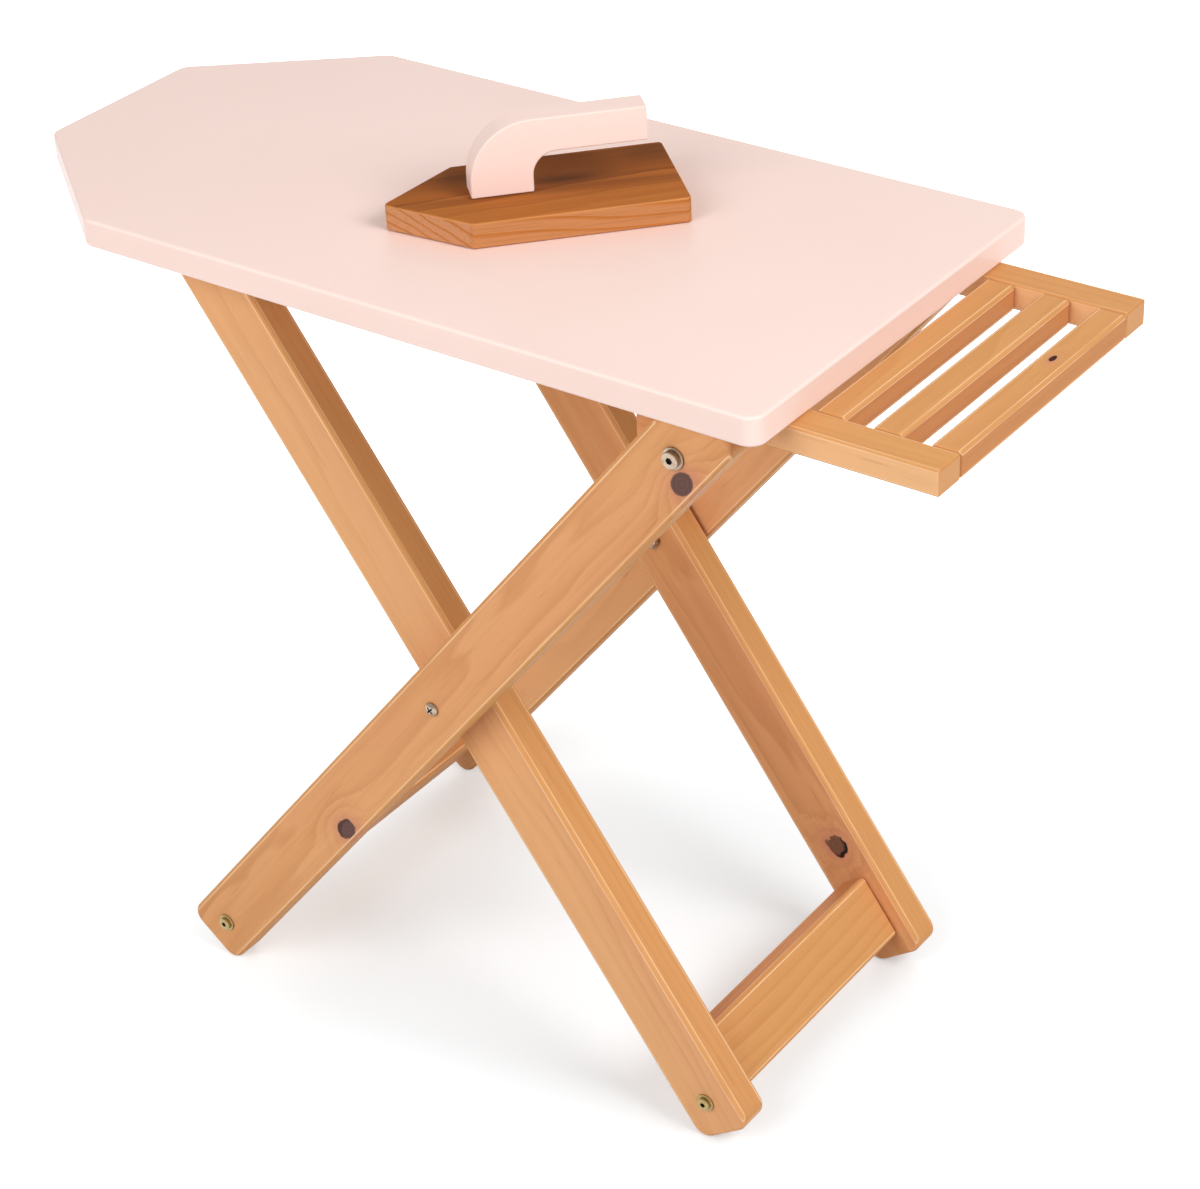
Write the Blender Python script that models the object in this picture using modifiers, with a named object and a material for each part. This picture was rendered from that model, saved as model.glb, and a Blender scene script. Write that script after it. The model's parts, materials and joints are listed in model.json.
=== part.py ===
"""Toy ironing board: a painted board on a folding crossed frame, a slatted rest and a loose toy iron.

Metres, +Z up. X runs from the board's nose to the slatted rest, Y across the board.
The floor is Z = 0 and the origin lies under the middle of the overall length.
"""
import math

import bmesh
import bpy
from mathutils import Matrix, Vector

# Fits shared by all pieces
SEAT = 0.0003
HOLE_CLEARANCE = 0.0003
CUT_OVERRUN = 0.004

# How finely curves are divided, and which corners count as edges
QUARTER = math.radians(90)
ARC_STEP = math.radians(15)
ROUND_STEPS = 16
SMALL_STEPS = 12
DOME_STEPS = 4
WELD = 0.000002
FLAT_ANGLE = math.radians(1)
EDGE_ANGLE = math.radians(40)
SHARP_ANGLE = math.radians(50)

# Board
BOARD_LENGTH = 0.580
BOARD_WIDTH = 0.290
BOARD_THICK = 0.018
BOARD_TOP = 0.541
NOSE_LENGTH = 0.107
TIP_WIDTH = 0.121
BOARD_CORNER = 0.010
BOARD_EDGE = 0.002

# Leg frames: both pairs and both crossbars are cut from one stock
LEG_WIDTH = 0.045
LEG_THICK = 0.022
LEG_CORNER = 0.010
LEG_EDGE = 0.0025
LEG_INSET = 0.006
LEG_GAP = 0.0025
OUTER_LEAN = math.radians(51.1)
INNER_LEAN = math.radians(54.6)
CROSS_FROM_END = 0.2395
CROSS_DEPTH = 0.250
OUTER_TOP_GAP = 0.0005
INNER_TOP_GAP = 0.0013
BAR_FROM_FOOT = 0.0385
BOLT_FROM_FOOT = 0.024
BAR_DOWEL_OFFSET = 0.012
BAR_DOWEL_RADIUS = 0.004
BAR_DOWEL_DEPTH = 0.013
DOWEL_CHAMFER = 0.0008
TOP_ROD_RADIUS = 0.007
TOP_ROD_ABOVE = 0.0095
TOP_ROD_DEPTH = 0.012

# Rails under the board, and the slatted rest that they carry past its square end
RAIL_WIDTH = 0.022
RAIL_HEIGHT = 0.016
RAIL_INSET = 0.0015
RAIL_UNDER = 0.330
RAIL_EDGE = 0.0015
REST_REACH = 0.090
SLAT_COUNT = 3
SLAT_WIDTH = 0.018
SLAT_CLEAR = 0.002
SLAT_EDGE = 0.002
SLAT_DOWEL_RADIUS = 0.003
SLAT_DOWEL_DEPTH = 0.012
PIVOT_BLOCK_LENGTH = 0.056
PIVOT_BLOCK_AHEAD = 0.014
PIVOT_BLOCK_HEIGHT = 0.020

# Fasteners: shank radius, flange radius, flange height, head radius, head height
PIVOT_BOLT = (0.0030, 0.0068, 0.0015, 0.0052, 0.0030)
FOOT_BOLT = (0.0025, 0.0060, 0.0012, 0.0043, 0.0022)
PIVOT_SOCKET = 0.0022
FOOT_SOCKET = 0.0018
SOCKET_DEPTH = 0.0020
BOLT_CHAMFER = 0.0005
CROSS_SCREW_RADIUS = 0.0025
CROSS_HEAD_RADIUS = 0.0046
CROSS_HEAD_HEIGHT = 0.0026
CROSS_HEAD_RIM = 0.0006
CROSS_SLOT_WIDTH = 0.0010
CROSS_SLOT_LENGTH = 0.0052
CROSS_SLOT_DEPTH = 0.0014
NUT_RADIUS = 0.0062
NUT_HEIGHT = 0.0075
NUT_RIM = 0.0032
NUT_BORE_DEPTH = 0.0055
NUT_ENTRY = 0.0045
WASHER_RADIUS = 0.0078
BARREL_RADIUS = 0.004
BARREL_LENGTH = 0.014
BARREL_FROM_END = 0.024
BOLT_PAST_BARREL = 0.008
WOOD_SCREW_RADIUS = 0.0019
WOOD_SCREW_HEAD = 0.0040
WOOD_SCREW_BITE = 0.011
WOOD_SCREW_TAPER = 0.004
RAIL_SCREW_COUNT = 2
RAIL_SCREW_MARGIN = 0.040
BLOCK_SCREW_SPACING = 0.020
BLOCK_SCREW_MARGIN = 0.009

# Toy iron, standing at an angle on the board
IRON_LENGTH = 0.174
IRON_WIDTH = 0.082
IRON_THICK = 0.016
IRON_SHOULDER = 0.046
IRON_CORNER = 0.003
IRON_EDGE = 0.0012
IRON_FROM_END = 0.2495
IRON_OFFSET = -0.0018
IRON_YAW = math.radians(47)
HANDLE_THICK = 0.018
HANDLE_FROM_TIP = 0.051
HANDLE_LENGTH = 0.105
HANDLE_HEIGHT = 0.045
HANDLE_POST = 0.037
HANDLE_BAR = 0.021
HANDLE_BEND = 0.036
HANDLE_FILLET = 0.014
HANDLE_EDGE = 0.001
IRON_SCREW_COUNT = 2
IRON_SCREW_SPACING = 0.018
IRON_SCREW_BITE = 0.018

# Places along the board
UNDERSIDE = BOARD_TOP - BOARD_THICK
NOSE_X = -(BOARD_LENGTH + REST_REACH) / 2
END_X = NOSE_X + BOARD_LENGTH
REST_X = END_X + REST_REACH
RAIL_X = END_X - RAIL_UNDER

# Places across the board, from the outside in
OUTER_FACE = BOARD_WIDTH / 2 - LEG_INSET
OUTER_INNER = OUTER_FACE - LEG_THICK
INNER_FACE = OUTER_INNER - LEG_GAP
INNER_INNER = INNER_FACE - LEG_THICK
RAIL_FACE = INNER_FACE - RAIL_INSET
RAIL_INNER = RAIL_FACE - RAIL_WIDTH
RAIL_MIDDLE = RAIL_FACE - RAIL_WIDTH / 2

# The crossing and the fold pivots, in the plane of the legs
HALF_LEG = LEG_WIDTH / 2
CROSS_X = END_X - CROSS_FROM_END
CROSS_Z = UNDERSIDE - CROSS_DEPTH
PIVOT_DEPTH = HALF_LEG + OUTER_TOP_GAP
PIVOT_Z = UNDERSIDE - PIVOT_DEPTH
OUTER_UPPER = (CROSS_DEPTH - PIVOT_DEPTH) / math.sin(OUTER_LEAN)
PIVOT_X = CROSS_X + OUTER_UPPER * math.cos(OUTER_LEAN)
BLOCK_X = PIVOT_X + PIVOT_BLOCK_AHEAD - PIVOT_BLOCK_LENGTH
INNER_UPPER = (CROSS_DEPTH - HALF_LEG - INNER_TOP_GAP) / math.sin(INNER_LEAN)

SIDES = (("near", -1), ("far", 1))


def lower_length(lean):
    """Length from the crossing to the foot's end, with the foot's rounded corner on the floor."""
    corner_rise = (HALF_LEG - LEG_CORNER) * math.cos(lean)
    return LEG_CORNER + (CROSS_Z - LEG_CORNER - corner_rise) / math.sin(lean)


OUTER_LOWER = lower_length(OUTER_LEAN)
INNER_LOWER = lower_length(INNER_LEAN)


# Scene, collections and materials

def clear_scene():
    for item in list(bpy.data.objects):
        bpy.data.objects.remove(item, do_unlink=True)


def new_collection(name):
    group = bpy.data.collections.new(name)
    bpy.context.scene.collection.children.link(group)
    return group


def new_material(name, colour, roughness, metallic=0.0):
    paint = bpy.data.materials.new(name)
    paint.use_nodes = True
    shader = paint.node_tree.nodes["Principled BSDF"]
    shader.inputs["Base Color"].default_value = (*colour, 1.0)
    shader.inputs["Roughness"].default_value = roughness
    shader.inputs["Metallic"].default_value = metallic
    return paint


clear_scene()
PARTS = new_collection("toy_ironing_board")
CUTTERS = new_collection("cutters")
PINK_PAINT = new_material("pink_paint", (0.86, 0.60, 0.54), 0.38)
PINE = new_material("lacquered_pine", (0.64, 0.33, 0.13), 0.36)
STAINED_PINE = new_material("stained_pine", (0.36, 0.13, 0.04), 0.34)
BEECH = new_material("beech_dowel", (0.60, 0.40, 0.22), 0.60)
NICKEL = new_material("nickel_plate", (0.70, 0.68, 0.64), 0.25, 1.0)
YELLOW_ZINC = new_material("yellow_zinc", (0.72, 0.60, 0.30), 0.30, 1.0)
STEEL = new_material("zinc_steel", (0.62, 0.62, 0.63), 0.32, 1.0)


# Shapes

def new_empty(name, parent, location, turn_y=0.0, turn_z=0.0):
    """A frame for a moving group, with its origin on the group's joint axis."""
    frame = bpy.data.objects.new(name, None)
    frame.empty_display_size = LEG_WIDTH
    PARTS.objects.link(frame)
    frame.parent = parent
    frame.location = location
    frame.rotation_euler = (0.0, turn_y, turn_z)
    return frame


def place(name, mesh, material, parent, location=(0.0, 0.0, 0.0), turn_x=0.0):
    """A sub-part of the object, placed in its group's frame."""
    piece = bpy.data.objects.new(name, mesh)
    PARTS.objects.link(piece)
    mesh.materials.clear()
    mesh.materials.append(material)
    piece.parent = parent
    piece.location = location
    piece.rotation_euler = (turn_x, 0.0, 0.0)
    return piece


def rounded(corners):
    """Points of a closed outline whose corners (x, y, radius) are turned into arcs."""
    points = []
    count = len(corners)
    for index, (x, y, radius) in enumerate(corners):
        corner = Vector((x, y))
        back = (Vector(corners[index - 1][:2]) - corner).normalized()
        ahead = (Vector(corners[(index + 1) % count][:2]) - corner).normalized()
        if radius == 0.0:
            points.append(corner)
            continue
        half = back.angle(ahead) / 2
        middle = corner + (back + ahead).normalized() * radius / math.sin(half)
        first = corner + back * radius / math.tan(half) - middle
        turn = -first.angle_signed(corner + ahead * radius / math.tan(half) - middle)
        steps = max(2, math.ceil(abs(turn) / ARC_STEP))
        points += [middle + Matrix.Rotation(turn * i / steps, 2) @ first for i in range(steps + 1)]
    return points


def plate(name, corners, thickness, upright=False):
    """A flat outline of even thickness: lying in X and Y, or upright in X and Z."""
    curve = bpy.data.curves.new(name, "CURVE")
    curve.dimensions = "2D"
    curve.fill_mode = "BOTH"
    curve.extrude = thickness / 2
    outline = rounded(corners)
    spline = curve.splines.new("POLY")
    spline.points.add(len(outline) - 1)
    for point, (x, y) in zip(spline.points, outline):
        point.co = (x, y, 0.0, 1.0)
    spline.use_cyclic_u = True
    guide = bpy.data.objects.new(name, curve)
    PARTS.objects.link(guide)
    evaluated = guide.evaluated_get(bpy.context.evaluated_depsgraph_get())
    mesh = bpy.data.meshes.new_from_object(evaluated)
    bpy.data.objects.remove(guide, do_unlink=True)
    shape = bmesh.new()
    shape.from_mesh(mesh)
    bmesh.ops.remove_doubles(shape, verts=shape.verts, dist=WELD)
    bmesh.ops.dissolve_limit(shape, angle_limit=FLAT_ANGLE, verts=shape.verts, edges=shape.edges)
    if upright:
        bmesh.ops.transform(shape, matrix=Matrix.Rotation(QUARTER, 4, "X"), verts=shape.verts)
    bmesh.ops.recalc_face_normals(shape, faces=shape.faces)
    shape.to_mesh(mesh)
    shape.free()
    return mesh


def block(name, size):
    """A box of the given X, Y and Z size, centred on its origin."""
    mesh = bpy.data.meshes.new(name)
    shape = bmesh.new()
    bmesh.ops.create_cube(shape, size=1.0, matrix=Matrix.Diagonal((*size, 1.0)))
    shape.to_mesh(mesh)
    shape.free()
    return mesh


def profile(name, points, closed=False):
    """A profile in X and Z, running down its outer side, for a Screw modifier."""
    mesh = bpy.data.meshes.new(name)
    count = len(points)
    edges = [(i, (i + 1) % count) for i in range(count if closed else count - 1)]
    mesh.from_pydata([(r, 0.0, z) for r, z in points], edges, [])
    return mesh


def turn_round(piece, steps=ROUND_STEPS):
    """Spins the piece's profile about its own Z axis."""
    spin = piece.modifiers.new("turned", "SCREW")
    spin.steps = steps
    spin.render_steps = steps
    spin.use_merge_vertices = True
    spin.merge_threshold = WELD
    spin.use_smooth_shade = True
    return piece


def soften(piece, width, segments=2):
    """Rounds the piece's edges and leaves its outline's arcs alone."""
    edge = piece.modifiers.new("edges", "BEVEL")
    edge.width = width
    edge.segments = segments
    edge.limit_method = "ANGLE"
    edge.angle_limit = EDGE_ANGLE
    piece.data.shade_smooth()
    piece.data.set_sharp_from_angle(angle=SHARP_ANGLE)
    return piece


def cut(piece, cutter):
    hole = piece.modifiers.new("cut", "BOOLEAN")
    hole.operation = "DIFFERENCE"
    hole.solver = "EXACT"
    hole.object = cutter


def new_cutter(name, mesh, parent, location=(0.0, 0.0, 0.0)):
    tool = bpy.data.objects.new(name, mesh)
    CUTTERS.objects.link(tool)
    tool.parent = parent
    tool.location = location
    tool.hide_render = True
    tool.display_type = "WIRE"
    return tool


def bore(piece, frame, start, end, radius, end_radius=None, sides=SMALL_STEPS):
    """Drills the piece from start to end, given in its group's frame."""
    start = Vector(start)
    along = Vector(end) - start
    mesh = bpy.data.meshes.new(piece.name + "_bore")
    shape = bmesh.new()
    turn = along.to_track_quat("Z", "Y").to_matrix().to_4x4()
    middle = Matrix.Translation(start + along / 2)
    bmesh.ops.create_cone(shape, cap_ends=True, segments=sides, radius1=radius,
                          radius2=radius if end_radius is None else end_radius,
                          depth=along.length, matrix=middle @ turn)
    shape.to_mesh(mesh)
    shape.free()
    cut(piece, new_cutter(piece.name + "_bore", mesh, frame))


# Fasteners

def bolt_profile(sizes, length):
    """Flanged bolt: its seat is Z = 0, its head is above and its shank below."""
    shank, flange, flange_height, head, head_height = sizes
    top = flange_height + head_height
    cut_back = BOLT_CHAMFER
    return [(0.0, top), (head - cut_back, top), (head, top - cut_back), (head, flange_height),
            (flange - cut_back, flange_height), (flange, flange_height - cut_back), (flange, 0.0),
            (shank, 0.0), (shank, cut_back - length), (shank - cut_back, -length), (0.0, -length)]


def dome(radius, low, high):
    """Profile of a rounded top, from its middle at the high point down to its rim at the low one."""
    turns = [QUARTER * (1 - i / DOME_STEPS) for i in range(DOME_STEPS + 1)]
    rim = [(radius * math.cos(turn), low + (high - low) * math.sin(turn)) for turn in turns[1:]]
    return [(0.0, high)] + rim


def socket_bolt(name, material, sizes, socket, length, frame, location, side):
    """A flanged bolt with a hexagon socket, pushed in from the outside of its side."""
    turn = -side * QUARTER
    bolt = place(name, profile(name, bolt_profile(sizes, length)), material, frame, location, turn)
    turn_round(bolt)
    mesh = bpy.data.meshes.new(name + "_socket")
    shape = bmesh.new()
    top = sizes[2] + sizes[4]
    bmesh.ops.create_cone(shape, cap_ends=True, segments=6, radius1=socket, radius2=socket,
                          depth=2 * SOCKET_DEPTH, matrix=Matrix.Translation((0.0, 0.0, top)))
    shape.to_mesh(mesh)
    shape.free()
    cut(bolt, new_cutter(name + "_socket", mesh, bolt))
    return bolt


def cap_nut(name, shank, frame, location, side):
    """A domed nut whose open end faces outwards, over the end of a bolt."""
    bore_radius = shank + HOLE_CLEARANCE
    points = dome(NUT_RADIUS, NUT_RIM, NUT_HEIGHT)
    points += [(NUT_RADIUS, 0.0), (bore_radius, 0.0), (bore_radius, NUT_BORE_DEPTH), (0.0, NUT_BORE_DEPTH)]
    nut = place(name, profile(name, points), NICKEL, frame, location, side * QUARTER)
    return turn_round(nut)


def washer(name, shank, frame, location):
    """A spacer that fills the gap between the outer leg and its inner neighbour."""
    half = LEG_GAP / 2 - SEAT
    hole = shank + HOLE_CLEARANCE
    points = [(WASHER_RADIUS, half), (WASHER_RADIUS, -half), (hole, -half), (hole, half)]
    ring = place(name, profile(name, points, closed=True), STEEL, frame, location, QUARTER)
    return turn_round(ring)


def dowel(name, radius, length, frame, location):
    """A round wooden pin along Y with chamfered ends."""
    half = length / 2
    tip = radius - DOWEL_CHAMFER
    reach = half - DOWEL_CHAMFER
    points = [(0.0, half), (tip, half), (radius, reach), (radius, -reach), (tip, -half), (0.0, -half)]
    pin = place(name, profile(name, points), BEECH, frame, location, QUARTER)
    return turn_round(pin, SMALL_STEPS)


def wood_screw(name, length, frame, location):
    """A countersunk screw driven upwards: its head's flat face is at its origin."""
    sink = WOOD_SCREW_HEAD - WOOD_SCREW_RADIUS
    points = [(0.0, 0.0), (WOOD_SCREW_HEAD, 0.0), (WOOD_SCREW_RADIUS, -sink),
              (WOOD_SCREW_RADIUS, WOOD_SCREW_TAPER - length), (0.0, -length)]
    screw = place(name, profile(name, points), STEEL, frame, location, 2 * QUARTER)
    return turn_round(screw, SMALL_STEPS)


def screw_hole(piece, frame, x, y, bottom, length):
    """A countersunk hole for a screw that is driven upwards from the piece's lower face."""
    hole = WOOD_SCREW_RADIUS + HOLE_CLEARANCE
    mouth = WOOD_SCREW_HEAD + HOLE_CLEARANCE
    sink = mouth - hole
    below = (x, y, bottom - CUT_OVERRUN)
    bore(piece, frame, below, (x, y, bottom + sink), mouth + CUT_OVERRUN, hole)
    bore(piece, frame, below, (x, y, bottom + length + SEAT), hole)


# Board, rails and slatted rest

def rail_screw_places():
    """X places of the screws that hold each rail, clear of the pivot block's own screws."""
    last = BLOCK_X - RAIL_SCREW_MARGIN / 2
    first = RAIL_X + RAIL_SCREW_MARGIN
    return first, (last - first) / (RAIL_SCREW_COUNT - 1)


def block_screw_places():
    first = BLOCK_X + BLOCK_SCREW_MARGIN
    return [first, first + BLOCK_SCREW_SPACING]


RAIL_BOTTOM = UNDERSIDE - SEAT - RAIL_HEIGHT
BLOCK_BOTTOM = RAIL_BOTTOM - SEAT - PIVOT_BLOCK_HEIGHT
RAIL_SCREW_LENGTH = RAIL_HEIGHT + WOOD_SCREW_BITE
BLOCK_SCREW_LENGTH = PIVOT_BLOCK_HEIGHT + RAIL_HEIGHT + WOOD_SCREW_BITE
SLAT_PITCH = (REST_REACH - SLAT_CLEAR - SLAT_WIDTH) / (SLAT_COUNT - 1)
FIRST_SLAT_X = END_X + SLAT_CLEAR + SLAT_WIDTH / 2


def make_board(frame):
    half_width = BOARD_WIDTH / 2
    half_tip = TIP_WIDTH / 2
    shoulder = NOSE_X + NOSE_LENGTH
    corners = [(NOSE_X, half_tip, BOARD_CORNER), (NOSE_X, -half_tip, BOARD_CORNER),
               (shoulder, -half_width, BOARD_CORNER), (END_X, -half_width, BOARD_CORNER),
               (END_X, half_width, BOARD_CORNER), (shoulder, half_width, BOARD_CORNER)]
    mesh = plate("board_top", corners, BOARD_THICK)
    board = place("board_top", mesh, PINK_PAINT, frame, (0.0, 0.0, UNDERSIDE + BOARD_THICK / 2))
    soften(board, BOARD_EDGE, 3)
    first, step = rail_screw_places()
    hole = WOOD_SCREW_RADIUS + HOLE_CLEARANCE
    deep = UNDERSIDE + WOOD_SCREW_BITE + SEAT
    for _, side in SIDES:
        rows = [first + step * i for i in range(RAIL_SCREW_COUNT)] + block_screw_places()
        for x in rows:
            y = side * RAIL_MIDDLE
            bore(board, frame, (x, y, UNDERSIDE - CUT_OVERRUN), (x, y, deep), hole)


def make_rails(frame):
    length = REST_X - RAIL_X
    first, step = rail_screw_places()
    for label, side in SIDES:
        y = side * RAIL_MIDDLE
        mesh = block("rail_" + label, (length, RAIL_WIDTH, RAIL_HEIGHT))
        middle = (RAIL_X + length / 2, y, RAIL_BOTTOM + RAIL_HEIGHT / 2)
        rail = soften(place("rail_" + label, mesh, PINE, frame, middle), RAIL_EDGE)
        for index in range(SLAT_COUNT):
            x = FIRST_SLAT_X + SLAT_PITCH * index
            z = RAIL_BOTTOM + RAIL_HEIGHT / 2
            mouth = (x, side * (RAIL_INNER - CUT_OVERRUN), z)
            bottom = (x, side * (RAIL_INNER + SLAT_DOWEL_DEPTH + SEAT), z)
            bore(rail, frame, mouth, bottom, SLAT_DOWEL_RADIUS + HOLE_CLEARANCE)
        for index in range(RAIL_SCREW_COUNT):
            x = first + step * index
            screw_hole(rail, frame, x, y, RAIL_BOTTOM, RAIL_HEIGHT + CUT_OVERRUN)
            wood_screw(f"rail_screw_{label}_{index + 1}", RAIL_SCREW_LENGTH, frame, (x, y, RAIL_BOTTOM))
        for x in block_screw_places():
            below = (x, y, RAIL_BOTTOM - CUT_OVERRUN)
            above = (x, y, RAIL_BOTTOM + RAIL_HEIGHT + CUT_OVERRUN)
            bore(rail, frame, below, above, WOOD_SCREW_RADIUS + HOLE_CLEARANCE)


def make_rest(frame):
    length = 2 * (RAIL_INNER - SEAT)
    z = RAIL_BOTTOM + RAIL_HEIGHT / 2
    for index in range(SLAT_COUNT):
        name = f"rest_slat_{index + 1}"
        x = FIRST_SLAT_X + SLAT_PITCH * index
        slat = place(name, block(name, (SLAT_WIDTH, length, RAIL_HEIGHT)), PINE, frame, (x, 0.0, z))
        soften(slat, SLAT_EDGE)
        for label, side in SIDES:
            mouth = (x, side * (RAIL_INNER + CUT_OVERRUN), z)
            bottom = (x, side * (RAIL_INNER - SLAT_DOWEL_DEPTH - SEAT), z)
            bore(slat, frame, mouth, bottom, SLAT_DOWEL_RADIUS + HOLE_CLEARANCE)
            dowel(f"rest_dowel_{label}_{index + 1}", SLAT_DOWEL_RADIUS, 2 * SLAT_DOWEL_DEPTH, frame,
                  (x, side * RAIL_INNER, z))


def make_pivots(frame):
    """Blocks under the rails with the bolts on which the outer legs fold."""
    shank = PIVOT_BOLT[0]
    middle_y = INNER_FACE - LEG_THICK / 2
    length = OUTER_FACE + SEAT - (INNER_INNER - SEAT) + NUT_ENTRY
    for label, side in SIDES:
        name = "pivot_block_" + label
        mesh = block(name, (PIVOT_BLOCK_LENGTH, LEG_THICK, PIVOT_BLOCK_HEIGHT))
        middle = (BLOCK_X + PIVOT_BLOCK_LENGTH / 2, side * middle_y, BLOCK_BOTTOM + PIVOT_BLOCK_HEIGHT / 2)
        piece = soften(place(name, mesh, PINE, frame, middle), RAIL_EDGE)
        inside = (PIVOT_X, side * (INNER_INNER - CUT_OVERRUN), PIVOT_Z)
        outside = (PIVOT_X, side * (INNER_FACE + CUT_OVERRUN), PIVOT_Z)
        bore(piece, frame, inside, outside, shank + HOLE_CLEARANCE, sides=ROUND_STEPS)
        for index, x in enumerate(block_screw_places()):
            y = side * RAIL_MIDDLE
            screw_hole(piece, frame, x, y, BLOCK_BOTTOM, PIVOT_BLOCK_HEIGHT + CUT_OVERRUN)
            wood_screw(f"block_screw_{label}_{index + 1}", BLOCK_SCREW_LENGTH, frame, (x, y, BLOCK_BOTTOM))
        socket_bolt("pivot_bolt_" + label, NICKEL, PIVOT_BOLT, PIVOT_SOCKET, length, frame,
                    (PIVOT_X, side * (OUTER_FACE + SEAT), PIVOT_Z), side)
        cap_nut("pivot_nut_" + label, shank, frame,
                (PIVOT_X, side * (INNER_INNER - SEAT), PIVOT_Z), side)
        washer("pivot_washer_" + label, shank, frame,
               (PIVOT_X, side * (INNER_FACE + LEG_GAP / 2), PIVOT_Z))


# Crossed frames

def leg_outline(lean, above, below):
    """Corners of a leg along X with its top at +X: level with the board, and round on the fold side."""
    long_reach = above + HALF_LEG / math.tan(lean / 2)
    short_reach = above + HALF_LEG * math.tan(lean / 2)
    return [(-below, -HALF_LEG, LEG_CORNER), (long_reach, -HALF_LEG, LEG_CORNER),
            (short_reach, HALF_LEG, HALF_LEG), (-below, HALF_LEG, LEG_CORNER)]


def make_foot_joints(label, frame, legs, face, foot_x, up, nut_side):
    """The crossbar between a pair's feet with its bolts, barrel nuts and dowels."""
    inner = face - LEG_THICK
    bar_x = foot_x + up * BAR_FROM_FOOT
    bolt_x = foot_x + up * BOLT_FROM_FOOT
    dowel_x = bar_x + up * BAR_DOWEL_OFFSET
    shank = FOOT_BOLT[0]
    length = LEG_THICK + SEAT + BARREL_FROM_END + BOLT_PAST_BARREL
    name = label + "_crossbar"
    mesh = block(name, (LEG_WIDTH, 2 * (inner - SEAT), LEG_THICK))
    bar = soften(place(name, mesh, PINE, frame, (bar_x, 0.0, 0.0)), LEG_EDGE)
    for (side_label, side), leg in zip(SIDES, legs):
        bolt_end = face + SEAT - length
        barrel_y = inner - BARREL_FROM_END
        hole = shank + HOLE_CLEARANCE
        outside = (bolt_x, side * (face + CUT_OVERRUN), 0.0)
        inside = (bolt_x, side * (inner - CUT_OVERRUN), 0.0)
        bore(leg, frame, outside, inside, hole)
        bore(bar, frame, outside, (bolt_x, side * (bolt_end - SEAT), 0.0), hole)
        outside = (dowel_x, side * (inner + BAR_DOWEL_DEPTH + SEAT), 0.0)
        inside = (dowel_x, side * (inner - BAR_DOWEL_DEPTH - SEAT), 0.0)
        bore(leg, frame, outside, (dowel_x, side * (inner - CUT_OVERRUN), 0.0),
             BAR_DOWEL_RADIUS + HOLE_CLEARANCE)
        bore(bar, frame, (dowel_x, side * (inner + CUT_OVERRUN), 0.0), inside,
             BAR_DOWEL_RADIUS + HOLE_CLEARANCE)
        dowel(f"{label}_dowel_{side_label}", BAR_DOWEL_RADIUS, 2 * BAR_DOWEL_DEPTH, frame,
              (dowel_x, side * inner, 0.0))
        mouth = (bolt_x, side * barrel_y, nut_side * (LEG_THICK / 2 + CUT_OVERRUN))
        bottom = (bolt_x, side * barrel_y, -nut_side * (BARREL_LENGTH / 2 + SEAT))
        bore(bar, frame, mouth, bottom, BARREL_RADIUS + HOLE_CLEARANCE, sides=ROUND_STEPS)
        socket_bolt(f"{label}_bolt_{side_label}", YELLOW_ZINC, FOOT_BOLT, FOOT_SOCKET, length, frame,
                    (bolt_x, side * (face + SEAT), 0.0), side)
        name = f"{label}_barrel_nut_{side_label}"
        half = BARREL_LENGTH / 2
        points = [(0.0, half), (BARREL_RADIUS, half), (BARREL_RADIUS, -half), (0.0, -half)]
        nut = place(name, profile(name, points), YELLOW_ZINC, frame, (bolt_x, side * barrel_y, 0.0))
        turn_round(nut)
        through = BARREL_RADIUS + CUT_OVERRUN
        bore(nut, frame, (bolt_x, side * barrel_y - through, 0.0),
             (bolt_x, side * barrel_y + through, 0.0), hole)


def make_legs(label, frame, corners, face, holes):
    """A pair of legs with round through holes, each given as its place along X and its radius."""
    legs = []
    for side_label, side in SIDES:
        name = f"{label}_leg_{side_label}"
        mesh = plate(name, corners, LEG_THICK, upright=True)
        leg = place(name, mesh, PINE, frame, (0.0, side * (face - LEG_THICK / 2), 0.0))
        soften(leg, LEG_EDGE)
        for x, radius in holes:
            outside = (x, side * (face + CUT_OVERRUN), 0.0)
            inside = (x, side * (face - LEG_THICK - CUT_OVERRUN), 0.0)
            bore(leg, frame, outside, inside, radius + HOLE_CLEARANCE, sides=ROUND_STEPS)
        legs.append(leg)
    return legs


def make_outer_frame(frame):
    """Outer legs: the frame's origin is the fold pivot and its X axis runs up the legs."""
    below = OUTER_UPPER + OUTER_LOWER
    holes = [(0.0, PIVOT_BOLT[0]), (-OUTER_UPPER, CROSS_SCREW_RADIUS)]
    legs = make_legs("outer", frame, leg_outline(OUTER_LEAN, 0.0, below), OUTER_FACE, holes)
    make_foot_joints("outer", frame, legs, OUTER_FACE, -below, 1, 1)


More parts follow.
